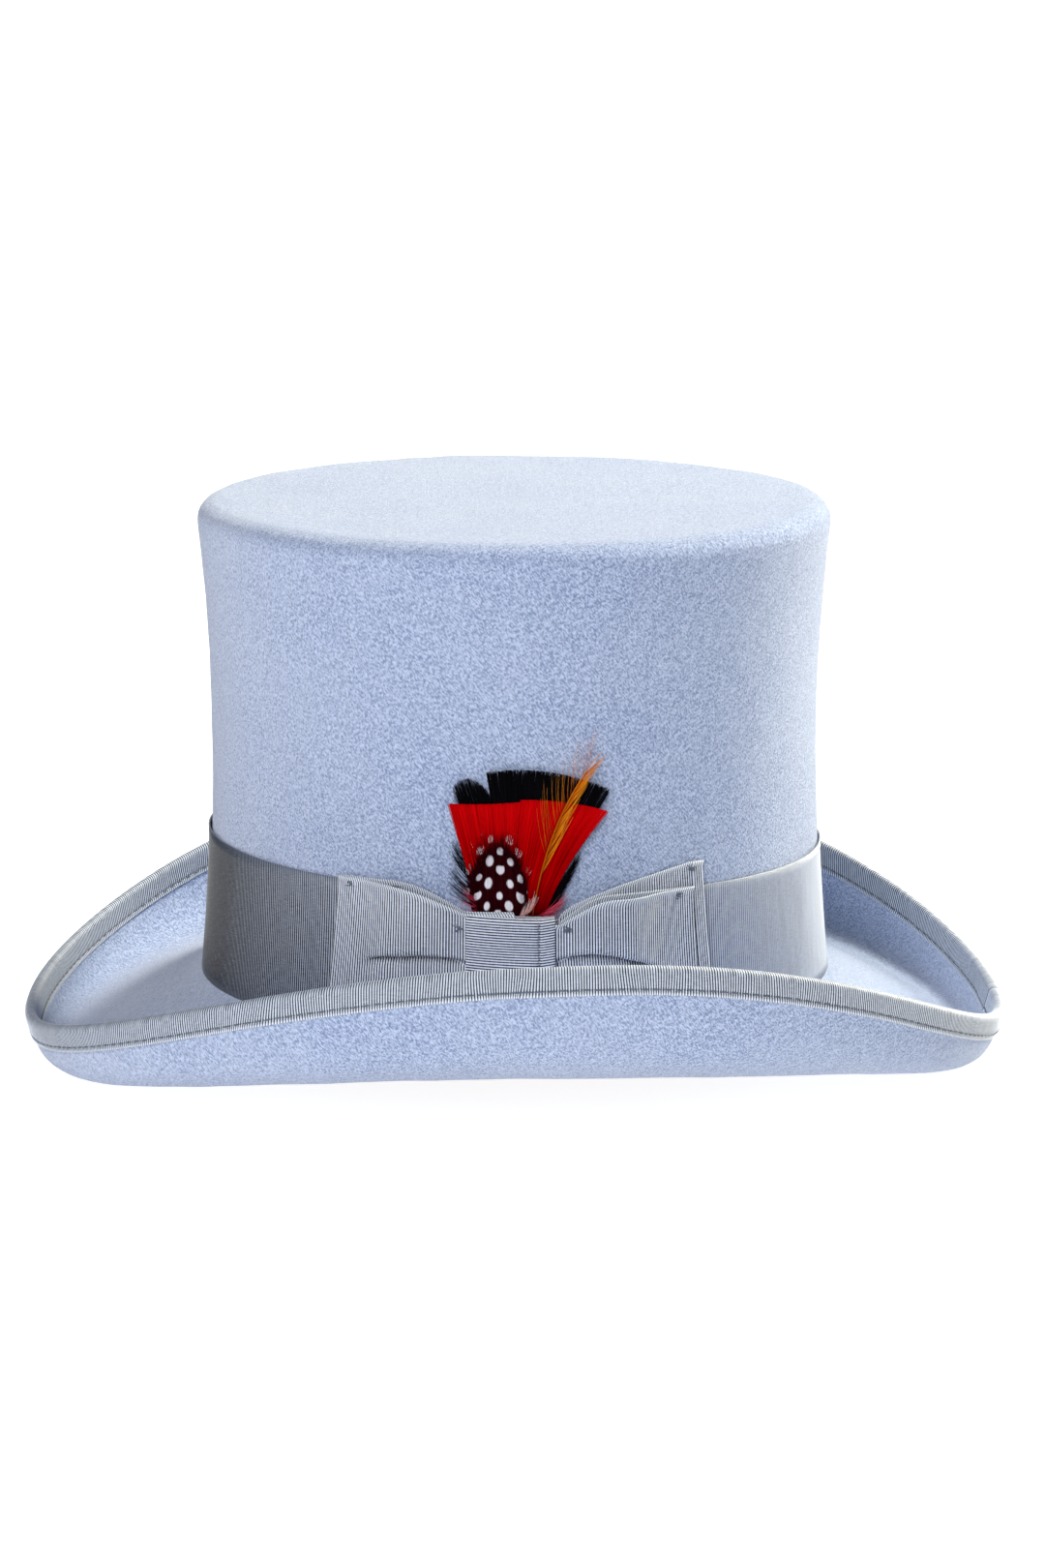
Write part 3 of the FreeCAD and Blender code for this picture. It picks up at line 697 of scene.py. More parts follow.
FELT_LOOK = felt_material()
PALE_EDGE = colour(222, 230, 244)
BINDING_LOOK = grosgrain_material("binding_ribbon", colour(20, 30, 50), colour(202, 212, 230), PALE_EDGE, 0.5)
BAND_LOOK = grosgrain_material("band_ribbon", colour(12, 18, 32), colour(190, 200, 222),
                               colour(140, 150, 170), 0.32)
BOW_LOOK = grosgrain_material("bow_ribbon", colour(4, 9, 24), colour(228, 236, 255), PALE_EDGE, 0.5)
THREAD_LOOK = thread_material()
SATIN_LOOK = satin_material()
LEATHER_LOOK = leather_material()
LABEL_LOOK = label_material()
CARD_LOOK = plain_material("quill_card", colour(150, 132, 106), colour(186, 168, 138), 0.85, 900.0)
REED_LOOK = plain_material("reed_plastic", colour(196, 196, 188), colour(222, 222, 214), 0.35, 300.0)
BLACK_LOOK = feather_material("feather_black", colour(4, 4, 6), colour(14, 14, 18), colour(10, 10, 14),
                              colour(4, 4, 6))
RED_LOOK = feather_material("feather_red", colour(104, 0, 2), colour(188, 1, 3), colour(196, 4, 10),
                            colour(90, 0, 3))
GUINEA_LOOK = feather_material("feather_guinea", colour(28, 3, 7), colour(56, 6, 14), colour(44, 5, 10),
                               colour(34, 3, 8))
GOLD_LOOK = feather_material("feather_golden", colour(176, 88, 8), colour(230, 142, 30), colour(236, 156, 44),
                             colour(150, 46, 8))
PINK_LOOK = feather_material("feather_fluff", colour(170, 10, 40), colour(226, 90, 120),
                             colour(226, 110, 130), colour(120, 2, 14))
PALE_LOOK = feather_material("feather_down", colour(214, 120, 130), colour(240, 210, 206),
                             colour(244, 224, 220), colour(150, 20, 30))


# ---------------------------------------------------------------- hood


def felt_body():
    """The felt with slight hand-blocked unevenness, thick all through."""
    angles = circle(288)
    ways = [np.linspace(way, way + 1, rows + 1)[:-1] for way, rows in enumerate(FELT_ROWS, -1)]
    ways = np.append(np.concatenate(ways), RIM_WAY)
    ways[0] = TIP_START
    angle, way = np.meshgrid(angles, ways, indexing="ij")
    middle = felt_middle(angle, way)
    normal = felt_normal(angle, way)
    hold = 1 - ramp(way, *EVEN_UNDER_BINDING)
    uneven = sum(height * cloud(middle, scale, seed) for scale, seed, height in FELT_WAVES) * hold
    outer = middle + normal * (HALF_FELT + uneven - FELT_SHRINK)[..., None]
    inner = middle - normal * (HALF_FELT - uneven)[..., None]
    points, faces = closed_sheet(outer, inner, close_rows=True)
    points[:, 2] = np.maximum(points[:, 2], 0)  # flattened where it rests
    caps = []
    count = len(angles) * len(ways)
    for first in (0, count):
        start = len(points)
        ring = [first + row * len(ways) for row in range(len(angles))]
        points = np.concatenate([points, points[ring].mean(axis=0)[None]])
        for here, after in zip(ring, ring[1:] + ring[:1]):
            caps.append((here, after, start) if first else (after, here, start))
    edge = [face for face in faces if not tip_gap(face, len(ways), count)]
    make_object("felt_hood", points, edge + caps, FELT_LOOK, "hat", ["felt_body"])


def tip_gap(face, columns, count):
    """True for the faces that would join the felt's two skins at the middle of the tip."""
    return all(index % columns == 0 for index in face) and min(face) < count <= max(face)


# ---------------------------------------------------------------- ribbons


def rib_wave(run, shift=0.0):
    """1 on the crest of each rib and 0 between ribs, at distances along a ribbon."""
    return 0.5 + 0.5 * np.cos(2 * np.pi * (run / RIB_PITCH - shift))


def both_faces(values):
    """One value per point of a sheet's front grid, repeated for its back."""
    return np.concatenate([values.reshape(-1, *values.shape[2:])] * 2)


def ribbon_piece(name, middle, run, across, thickness, material, stands_for, close_rows=False,
                 rise=RIB_RISE, edge=SELVAGE, twist=0.0, shade=0.0):
    """A ribbed ribbon over a grid of points: rows follow its length and columns its width. edge is each
    point's distance in from the nearer woven edge, and twist moves the pale colour off the ribs' crests
    by a share of a rib, so that one flank is painted paler and the other darker, as painted light from one
    side.
    shade is painted shade: where it is 1, as in a pleat's crease, the ribs take their dark colour."""
    grid = middle.shape[:2]
    lift = (thickness / 2 - rise * (1 - rib_wave(run)[:, None]))[..., None]
    normals = grid_normals(middle, close_rows)
    points, faces = closed_sheet(middle + normals * lift, middle - normals * lift, close_rows)
    piece = make_object(name, points, faces, material, "hat", stands_for)
    # The ribs' colour with painted light: twist paints one flank pale and the other dark, and shade paints
    # the crease's shadow.
    ribs_with_painted_light = rib_wave(run, twist)[:, None] * (1 - shade)
    point_value(piece, "rib", both_faces(np.broadcast_to(ribs_with_painted_light, grid)))
    woven = 1 - ramp(edge, 0.7 * SELVAGE, SELVAGE)
    point_value(piece, "woven_edge", both_faces(np.broadcast_to(woven, grid)))
    weave = vectors(run[:, None], across, np.zeros(1))
    point_vector(piece, "weave", both_faces(np.broadcast_to(weave, middle.shape)))
    return piece


def brim_binding():
    """Ribbon folded over the rim, pulled slightly uneven by its seam; its ribs lean here and there."""
    rim = lambda angle: felt_middle(angle, RIM_WAY)
    angles, perimeter = rib_angles(rim)
    angles = angles[:-1]
    run = np.arange(len(angles)) * RIB_STEP
    near = HALF_FELT + BINDING_LIFT
    wave = rib_wave(run)
    pull = 1 + BINDING_PULL * wander(run, 0.35, 6)
    lap = BINDING_LAP * ramp(run, *LAP_STARTS) * (1 - ramp(run, *LAP_ENDS))
    lean = BINDING_LEAN * wander(run, 0.05, 7) * 2 * np.pi / perimeter
    widths = {1: BINDING_TOP_WIDTH + BINDING_UNEVEN * wander(run, 0.03, 4),
              -1: BINDING_UNDER_WIDTH + BINDING_UNEVEN * wander(run, 0.03, 5)}
    edge = rim(angles)
    outward = unit(edge - felt_middle(angles, RIM_WAY - STEP))

    def column(share, side, turn=None):
        """One line of points along the ribbon, at a share of its width in from the rim, on the upper (1)
        or under (-1) face or turned round the rim: front and back points, distance across the ribbon,
        distance in from its woven edge and how near the seam it is."""
        distance = widths[side] * share
        room = widths[side] - distance
        seam = hill(room - SEAM_INSET, SEAM_WIDTH)
        out = near + BINDING * (1 - 0.5 * seam) - RIB_RISE * pull * (1 - wave) + lap
        if turn is None:
            turned = angles + lean * distance
            way = way_from_rim(turned, distance)
            front = felt_point(turned, way, side * out)
            back = felt_point(turned, way, side * near)
        else:
            direction = felt_normal(angles, RIM_WAY) * np.cos(turn) + outward * np.sin(turn)
            front = edge + direction * out[:, None]
            back = edge + direction * near
        return front, back, -side * distance, room, seam

    columns = [column(share, 1) for share in BINDING_SHARES]
    columns += [column(0.0, 1, turn) for turn in np.linspace(0, np.pi, 7)]
    columns += [column(share, -1) for share in BINDING_SHARES[::-1]]
    front, back, marks, rooms, seams = (np.stack(part, axis=1) for part in zip(*columns))
    points, faces = closed_sheet(front, back, close_rows=True)
    piece = make_object("rim_binding", points, faces, BINDING_LOOK, "hat",
                        ["brim_binding"])
    # Darker along the seam: painted shade in the dent that the seam makes.
    point_value(piece, "rib", both_faces(wave[:, None] * (1 - 0.3 * seams)))
    point_value(piece, "woven_edge", both_faces(1 - ramp(rooms, *BINDING_SELVAGE)))
    point_vector(piece, "weave", both_faces(vectors(run[:, None], marks, np.zeros(1))))


def crown_band():
    """Ribbon round the crown with upright ribs; it hugs the wall, and its ends are under the bow."""
    start = np.interp(BAND_END_RIGHT, SIDE_RUN, SIDE_TABLE)
    end = np.interp(BAND_END_LEFT, SIDE_RUN, SIDE_TABLE) + 2 * np.pi
    angles, length = rib_angles(lambda angle: wall_point(angle, BAND_MIDDLE, 0.5), start, end - start)
    run = np.arange(len(angles)) * RIB_STEP
    top = BAND_TOP - BAND_TILT * SEMI_LENGTH * np.cos(angles) + 0.25 * wander(run, 0.02, 11)
    bottom = BAND_BOTTOM + 0.2 * wander(run, 0.02, 12)
    share = np.linspace(0, 1, 15)
    height = bottom[:, None] + (top - bottom)[:, None] * share
    stand_off = 0.2 + BINDING / 2 + 0.12 * cloud(vectors(run[:, None], height, 0.0), 0.03, 5.0)
    flare = 0.35 * hill(share - 1, 0.05) * (0.5 + 0.5 * wander(run, 0.015, 13))[:, None]
    edge = np.minimum(share, 1 - share) * (top - bottom)[:, None]
    middle = wall_point(angles[:, None], height, stand_off + flare)
    # The twist paints each rib's one flank paler and the other darker: painted light falling from one side.
    band = ribbon_piece("crown_ribbon", middle, run, height, BINDING, BAND_LOOK,
                        ["crown_band"], edge=edge, rise=BAND_RISE, twist=BAND_PAINTED_FLANK_SHIFT)


# ---------------------------------------------------------------- bow


def from_knot(across):
    """Distance across from the knot's nearer edge."""
    return np.maximum(np.abs(across) - np.where(across < 0, -KNOT_LEFT, KNOT_RIGHT), 0)


def spread(across):
    """0 at the knot, rising smoothly to 1 where a wing lies flat on the band."""
    gone = from_knot(across)
    full = WING_FLAT + gone - np.abs(across)
    return np.sin(np.pi / 2 * np.clip(gone / full, 0, 1))


def pinch(across):
    """The share of a pleat's depth that is left where the knot presses it."""
    return 0.5 + 0.5 * ramp(from_knot(across), 0.0, PINCH_REACH)


def wing_level(across, layer, far_level):
    """How far a layer stands off the felt: stacked at the knot, flat on the band beyond it."""
    stacked = POCKET + (layer + 1) * LAYER_STEP
    return stacked + (far_level - stacked) * spread(across)


def wing_bulge(across, end, size):
    """How far a wing's front layer swells out: most half way along it."""
    edge = KNOT_LEFT if end < 0 else KNOT_RIGHT
    share = np.clip((across - edge) / (end - edge), 0, 1)
    return size * np.sin(np.pi * share) ** 2


def even_path(points, step):
    """Points resampled at equal steps along a path, and the distance along it of each."""
    run = np.concatenate([[0], np.cumsum(np.linalg.norm(np.diff(points, axis=0), axis=1))])
    count = round(run[-1] / step)
    even = np.linspace(0, run[-1], count + 1)
    return np.stack([np.interp(even, run, column) for column in points.T], axis=1), even


def folded_path(start, end, back, front):
    """A path of (across, level) out along a back layer, round a fold and home along the front, and how
    far round it each point is: 0 on the back, 1 on the front."""
    stops = np.linspace(start, end, 200)
    low = back(stops)
    high = front(stops)
    radius = (high[-1] - low[-1]) / 2
    turn = np.linspace(0, np.pi, 16)[1:-1]
    side = np.sign(end)
    fold = np.stack([end + side * radius * np.sin(turn), low[-1] + radius * (1 - np.cos(turn))], axis=1)
    points = np.concatenate([np.stack([stops, low], axis=1), fold, np.stack([stops, high], axis=1)[::-1]])
    points, run = even_path(points, RIB_STEP)
    fold_run = run[np.argmax(side * points[:, 0])]
    return points, run, ramp(run, fold_run, fold_run + 5)


def pleat_line(across, side):
    """Height of a wing's pleat: it arches up from the knot, then falls."""
    start, slope, fall = LEFT_PLEAT_ARCH if side < 0 else RIGHT_PLEAT_ARCH
    gone = from_knot(across)
    return start + slope * gone - fall * gone ** 2


def pleat(across, height, facing, reach, depth, side):
    """Shifts in height and level of a wing's pleat, whose upper lip overhangs the ribbon below, and the
    painted shade that darkens the ribbon in the crease under the lip."""
    strength = (1 - ramp(side * across, *reach)) * facing
    place = (height - pleat_line(across, side)) / PLEAT_HALF_HEIGHT
    shift = -PLEAT_TUCK * strength * place * hill(place, 1.0)
    rise = depth * pinch(across) * strength * (0.5 + 0.5 * np.tanh(PLEAT_STEEPNESS * place))
    hollow = -PLEAT_HOLLOW * strength * hill(place + 0.9, 1.0)
    # Painted shade: darkens the ribbon's colour in the crease just under the pleat's lip.
    shade = strength * hill(place + 0.75, 0.75)
    return shift, rise + hollow, shade


def slanted_edge(across, room, side):
    """Shears the ribs where they meet the woven edge."""
    return across + side * EDGE_SLANT * np.clip(1 - room / SELVAGE, 0, 1)


def wing(name, path, run, facing, bottom_top, shear, reach, depth, side, stands_for):
    """One ribbon of the bow over a path, with a pleat in its front and a slanted outer edge."""
    share = np.concatenate([[0, 0.012, 0.03], np.linspace(0.06, 0.94, 60), [0.97, 0.988, 1]])
    across = path[:, 0][:, None]
    level = path[:, 1][:, None]
    bottom, top = bottom_top(across)
    height = bottom + (top - bottom) * share
    moved = slanted_edge(across, (top - bottom) * (1 - share), side)
    moved = slanted_edge(moved, (top - bottom) * share, side)
    moved = moved + shear * ramp(np.abs(across), *SLANT_REACH) * (top - height) / SLANT_HEIGHT
    # The pleat's painted crease shade goes on into the ribbon's colour.
    shift, rise, shade = pleat(across, height, facing[:, None], reach, depth, side)
    soft = 0.35 * facing[:, None] * cloud(vectors(moved, height, 0.0), 0.06, 21.0 + depth)
    curl = 0.5 * facing[:, None] * hill(1 - share, 0.05) * (0.4 + wander(run, 0.05, 31))[:, None]
    middle = side_point(moved, height + shift, level + rise + soft + curl)
    edge = np.minimum(share, 1 - share) * (top - bottom)
    return ribbon_piece(name, middle, run, height, RIBBON, BOW_LOOK, stands_for,
                        edge=edge, shade=shade)


def heights(opening, top):
    """Bottom and top of a wing; opening is 0 where the knot gathers it and 1 where it is full."""
    return WING_BOTTOM[0] - WING_BOTTOM[1] * opening, top[0] + top[1] * opening


def left_wing_heights(across):
    share = np.clip((np.abs(across) + KNOT_LEFT) / LEFT_WING_OPENS, 0, 1)
    return heights(np.sin(np.pi / 2 * share), LEFT_WING_TOP)


def right_wing_heights(across):
    share = np.clip((across - KNOT_RIGHT - 1) / RIGHT_WING_OPENS, 0, 1)
    return heights(np.sin(np.pi / 2 * share), RIGHT_WING_TOP)


def tail_heights(across):
    return heights(np.clip((across - KNOT_RIGHT - 1) / TAIL_OPENS, 0, 1) ** 0.55, TAIL_TOP)


def left_front(across):
    """Level of the left wing's front layer."""
    return wing_level(across, 1, FAR_LEVEL + FOLD_GAP) + wing_bulge(across, LEFT_WING_END, LEFT_BULGE)


def right_front(across):
    level = wing_level(across, 2, FAR_LEVEL + LAYER_STEP + FOLD_GAP)
    return level + wing_bulge(across, RIGHT_WING_END, RIGHT_BULGE)


def bow():
    path, run, facing = folded_path(-1.0, LEFT_WING_END, lambda x: wing_level(x, 0, FAR_LEVEL), left_front)
    left = wing("bow_left_ribbon", path, run, facing, left_wing_heights, -2.4, LEFT_PLEAT_REACH,
                LEFT_PLEAT_DEPTH, -1, ["bow_left_loop"])
    path, run, facing = folded_path(
        1.0, RIGHT_WING_END, lambda x: wing_level(x, 1, FAR_LEVEL + LAYER_STEP), right_front)
    right = wing("bow_right_ribbon", path, run, facing, right_wing_heights, 0.8, RIGHT_PLEAT_REACH,
                 RIGHT_PLEAT_DEPTH, 1, ["bow_right_loop"])
    path, run = tail_path()
    tail = wing("bow_tail_ribbon", path, run, np.zeros(len(run)), tail_heights, 2.0, RIGHT_PLEAT_REACH, 0.0,
                1, ["bow_right_tail"])
    knot()
    tacks()


def tail_path():
    """Out from the knot behind the right wing, to a hem turned back on itself."""
    stops = np.linspace(1.0, TAIL_END, 200)
    low = wing_level(stops, 0, FAR_LEVEL)
    turn = np.linspace(0, np.pi, 12)[1:-1]
    radius = 0.4
    fold = np.stack([TAIL_END + radius * np.sin(turn), low[-1] + radius * (1 - np.cos(turn))], axis=1)
    hem = np.array([[TAIL_END, low[-1] + 2 * radius], [TAIL_END - HEM, low[-1] + 2 * radius + GAP]])
    return even_path(np.concatenate([np.stack([stops, low], axis=1), fold, hem]), RIB_STEP)


def knot_loop():
    """The knot's section as (height, level) points, from the back round over the top to the front."""
    radius = KNOT_DEPTH / 2
    low, high = KNOT_BOTTOM + radius, KNOT_TOP - radius
    middle = POCKET + radius
    turn = np.linspace(0, np.pi, 40)
    top = np.stack([high + radius * np.sin(turn), middle - radius * np.cos(turn)], axis=1)
    bottom = np.stack([low - radius * np.sin(turn), middle + radius * np.cos(turn)], axis=1)
    return np.concatenate([top, bottom, top[:1]])


def knot():
    """A ribbon wrapped round the middle, ribs level, with a sewn-down folded edge at the right."""
    run = even_path(knot_loop(), RIB_STEP)[1]
    ribs = round(run[-1] / RIB_PITCH)
    loop = even_path(knot_loop(), run[-1] / ribs / RIB_SAMPLES)[0][:-1]
    run = np.arange(len(loop)) * RIB_STEP
    across = np.concatenate([[KNOT_LEFT, KNOT_LEFT + 0.3, KNOT_LEFT + 0.8],
                             np.linspace(KNOT_LEFT + 1.6, KNOT_FOLD - 0.6, 16),
                             [KNOT_FOLD - 0.25, KNOT_FOLD, KNOT_FOLD + 0.25, KNOT_FOLD + 0.7],
                             np.linspace(KNOT_FOLD + 1.4, KNOT_RIGHT - 0.4, 4), [KNOT_RIGHT]])
    height = loop[:, 0][:, None]
    level = loop[:, 1][:, None]
    out = (level - POCKET) / KNOT_DEPTH
    share = (across - KNOT_LEFT) / (KNOT_RIGHT - KNOT_LEFT)
    crown = KNOT_CROWN * out * np.sin(np.pi * share) ** 0.6
    crease = -KNOT_CREASE * out * hill(across - KNOT_FOLD, SEAM_WIDTH)
    strip = ramp(across, KNOT_FOLD, KNOT_FOLD + 0.3)
    pulled = height + strip * (across - KNOT_FOLD) / 6 * out + KNOT_TILT * (1 - 2 * share)
    middle = side_point(across, pulled, level + crown + crease + KNOT_STRIP * strip * out)
    piece = ribbon_piece("bow_knot_ribbon", middle, run, across, RIBBON, BOW_LOOK,
                         ["bow_knot"], close_rows=True)
    low = np.arange(KNOT_BOTTOM + 3, KNOT_TOP - 1, KNOT_STITCH_PITCH)
    high = low + KNOT_STITCH_LENGTH
    level = POCKET + KNOT_DEPTH + 0.75
    starts = side_point(np.full(len(low), KNOT_FOLD), low, level)
    ends = side_point(np.full(len(low), KNOT_FOLD + 0.15), high, level)
    stitches("bow_knot_seam", starts, ends, ends - side_point(KNOT_FOLD, high, level - 1), 0.16)


def tacks():
    """Small groups of whipped threads that hold the bow's layers."""
    half = RIBBON / 2
    spots = [
        (-56.0, 51.0, left_front(-56.0) + half),
        (-38.8, 51.7, left_front(-38.8) + half),
        (-18.4, 40.4, left_front(-18.4) + LEFT_PLEAT_DEPTH * pinch(-18.4) + half),
        (14.8, 40.2, right_front(14.8) + RIGHT_PLEAT_DEPTH * pinch(14.8) + half),
        (53.0, 47.4, right_front(53.0) + half),
        (58.6, 55.0, FAR_LEVEL + 4 * half),
    ]
    draw = np.random.default_rng(77)
    starts = []
    ends = []
    for across, height, level in spots:
        for index in range(TACK_THREADS):
            lean, slide, lift = 0.5 * draw.standard_normal(3)
            row = height + (index - TACK_THREADS / 2) * TACK_PITCH
            starts.append((across - TACK_REACH + slide, row - lean, level + 0.15))
            ends.append((across + TACK_REACH + slide + 0.3 * lift, row + lean, level + 0.15))
    starts = np.array(starts)
    ends = np.array(ends)
    begin = side_point(*starts.T)
    finish = side_point(*ends.T)
    out = side_point(starts[:, 0], starts[:, 1], starts[:, 2] + 1) - begin
    stitches("bow_tack_threads", begin, finish, out, 0.2, ["bow_tacks"], TACK_RISE)


# ---------------------------------------------------------------- stitches


def stitches(name, starts, ends, outs, radius, stands_for=(), rise=STITCH_RISE):
    """Short thread stitches from starts to ends; each bows outward and dips at its ends."""
    rings = 8
    sides = 6
    share = np.linspace(0, 1, rings)
    bow_out = rise * np.sin(np.pi * share) - STITCH_DIP
    outs = unit(outs)
    middle = starts[:, None] + (ends - starts)[:, None] * share[None, :, None]
    middle = middle + outs[:, None] * bow_out[None, :, None]
    along = unit(np.gradient(middle, axis=1))
    side = unit(np.cross(along, outs[:, None]))
    up = np.cross(side, along)
    taper = radius * np.sin(np.pi * np.clip(share, 0.03, 0.97)) ** 0.4
    turn = (np.arange(sides) * 2 * np.pi / sides)[:, None]
    offset = side[:, :, None] * np.cos(turn) + up[:, :, None] * np.sin(turn)
    points = middle[:, :, None] + offset * taper[:, None, None]
    tubes(name, points, THREAD_LOOK, "hat", stands_for)


def tubes(name, points, material, body, stands_for):
    """Closed tubes from an array of (tube, ring, corner) points."""
    count, rings, sides = points.shape[:3]
    tube, ring, corner = np.meshgrid(np.arange(count), np.arange(rings - 1), np.arange(sides), indexing="ij")
    after = (corner + 1) % sides
    here = (tube * rings + ring) * sides
    quads = np.stack([here + corner, here + after, here + sides + after, here + sides + corner], axis=-1)
    faces = quads.reshape(-1, 4).tolist()
    first = np.arange(count) * rings * sides
    last = first + (rings - 1) * sides
    index = np.arange(sides)
    faces += (first[:, None] + index[::-1]).tolist()
    faces += (last[:, None] + index).tolist()
    return make_object(name, points.reshape(-1, 3), faces, material, body, stands_for)


def seam_on_binding(name, width, side, node):
    """The binding's running stitch on one face."""
    distance = width - SEAM_INSET
    path = lambda angle: felt_point(angle, way_from_rim(angle, distance), side * HALF_FELT)
    perimeter = even_angles(1, path)[1]
    count = round(perimeter / STITCH_PITCH)
    angles = even_angles(count, path)[0][:-1]
    uneven = STITCH_STRAY * np.random.default_rng(5 + side).standard_normal((2, count))
    turn = STITCH_LENGTH / 2 / (perimeter / (2 * np.pi))
    level = side * (HALF_FELT + BINDING_LIFT + BINDING * STITCH_LEVEL)
    ends = []
    for sign, drift in zip((-1, 1), uneven):
        angle = angles + sign * turn
        ends.append(felt_point(angle, way_from_rim(angle, distance + 0.5 * drift), level))
    outs = felt_normal(angles, way_from_rim(angles, distance)) * side
    stitches(name, ends[0], ends[1], outs, STITCH_RADIUS, [node])


# ---------------------------------------------------------------- feathers


def arc(first, bend, last, share):
    """Points on a quadratic Bezier curve."""
    return first * (1 - share) ** 2 + bend * 2 * share * (1 - share) + last * share ** 2


def strands(name, roots, bends, tips, width, material, stands_for=(), segments=10, thick=0.14,
            keep=0.25, seed=1, spots=None):
    """Barbs as tapered three-sided strands. roots, bends and tips are (across, height, level) rows, the
    handles of a curve for each strand; keep is the share of its width that a strand has at its tip."""
    share = np.linspace(0, 1, segments + 1)[None, :, None]
    curve = arc(roots[:, None], bends[:, None], tips[:, None], share)
    across, height, level = np.moveaxis(curve, -1, 0)
    centre = side_point(across, height, level)
    out = unit(side_point(across, height, level + 1) - centre)
    along = unit(np.gradient(centre, axis=1))
    side = unit(np.cross(along, out))
    width = np.broadcast_to(np.asarray(width, float), (len(roots),))
    flat = share[0, :, 0]
    taper = (1 - (1 - keep) * flat ** 1.6)[None, :, None] * width[:, None, None] / 2
    corners = [centre + side * taper, centre - side * taper, centre + out * thick]
    points = np.stack(corners, axis=2)
    piece = tubes(name, points, material, "feather_spray", stands_for)
    tint = np.random.default_rng(seed).random(len(roots))
    shape = points.shape[:3]
    point_value(piece, "tint", np.broadcast_to(tint[:, None, None], shape))
    point_value(piece, "along", np.broadcast_to(flat[None, :, None], shape))
    spot = np.zeros(across.shape) if spots is None else spots(across, height)
    point_value(piece, "spot", np.broadcast_to(spot[:, :, None], shape))
    return piece


def vane_level(layer):
    """Level of a feather's underside, stacked from the felt outward."""
    return 3 * GAP + TAB + layer * VANE_STEP


def fan(name, base, tip, rise, layer, count, width, material, stands_for, seed, fringe=1.2, bend=0.0,
        sweep=0.0, spots=None, segments=10, keep=0.8):
    """A feather seen flat: barbs that spread from its base to a fringed tip. base is (left, right, height)
    and tip is (left, right, left height, right height); bend bows the right edge in and sweep curls all
    the tips to the left."""
    draw = np.random.default_rng(seed)
    place = np.linspace(0, 1, count)
    bunched = place + 0.004 * draw.standard_normal(count)
    short = fringe * draw.random(count) ** 2
    level = vane_level(layer) + VANE_LIFT * draw.random(count)
    root = vectors(base[0] + (base[1] - base[0]) * place, base[2], level)
    height = tip[2] + (tip[3] - tip[2]) * place + rise * 4 * place * (1 - place) - short
    reach = tip[0] + (tip[1] - tip[0]) * bunched
    tips = vectors(reach, height, level + 0.25 * draw.random(count))
    middle = (root + tips) / 2
    middle[:, 0] += bend * place + sweep
    return strands(name, root, middle, tips, width, material, stands_for, segments, keep=keep,
                   seed=seed, spots=spots)


def guinea_spots(across, height):
    """White dots in curved staggered rows, each a little off its place; brushed out near the edge."""
    side = across - GUINEA_MIDDLE
    arch = height + DOT_ARCH * side ** 2 - VANE_BASE
    row = np.round(arch / DOT_ROW)
    shift = np.where(row % 2 == 0, 0.0, 0.5)
    column = np.round(side / DOT_PITCH - shift)
    off_x = DOT_STRAY * np.sin(12.9 * row + 7.1 * column)
    off_y = DOT_STRAY * np.cos(4.7 * row + 9.3 * column)
    dx = side - (column + shift) * DOT_PITCH - off_x
    dy = arch - row * DOT_ROW - off_y
    tall = 0.8 + 0.15 * np.sin(3.1 * row + 5.3 * column)
    near = np.hypot(dx, dy * tall)
    radius = DOT_RADIUS + 0.2 * np.sin(8.3 * row - 2.9 * column)
    brushed = ramp(np.abs(side) + np.maximum(0, height - 58), 6.5, 8.0)
    streaks = 1 - 0.85 * brushed * (np.sin(19.0 * across) < -0.1)
    return (1 - ramp(near, radius, radius + 0.3)) * streaks


def wisps(name, roots, reach, count, width, material, stands_for, seed, layer, scatter=0.8, curl=1.5,
          spots=None):
    """A row of loose curved barbs. roots and reach are the (across, height) of the first and last."""
    draw = np.random.default_rng(seed)
    level = vane_level(layer) + 0.6 * draw.random(count)
    place = draw.random(count)[:, None]
    root = np.array(roots[0]) + np.diff(np.array(roots, float), axis=0) * place
    tip = np.array(reach[0]) + np.diff(np.array(reach, float), axis=0) * place
    tip = tip + scatter * draw.standard_normal((count, 2))
    middle = (root + tip) / 2 + (0.0, -curl) + 0.3 * draw.standard_normal((count, 2))
    root = np.column_stack([root, level])
    tip = np.column_stack([tip, level + 0.8 * draw.random(count)])
    middle = np.column_stack([middle, level + 0.5])
    return strands(name, root, middle, tip, width, material, stands_for, 24, thick=0.08, keep=0.2,
                   seed=seed, spots=spots)


def golden_feather():
    """A fine curved quill with a narrow vane on its right and sparse long barbs on its left."""
    level = vane_level(6)
    handles = np.array([(4.5, VANE_BASE, level), (9.5, 76.0, level), (26.2, 95.4, level)])
    strands("feather_golden_quill", handles[:1], handles[1:2], handles[2:], 0.6, GOLD_LOOK,
            segments=40, thick=0.4, keep=0.3, seed=3)
    golden_barbs("feather_golden_barbs", handles, 46, (0.2, 0.86), (11.0, 17.0), -14.0, 0.26, 4)
    golden_barbs("feather_golden_wisps", handles, 34, (0.3, 0.92), (15.0, 22.0), 24.0, 0.09, 5)


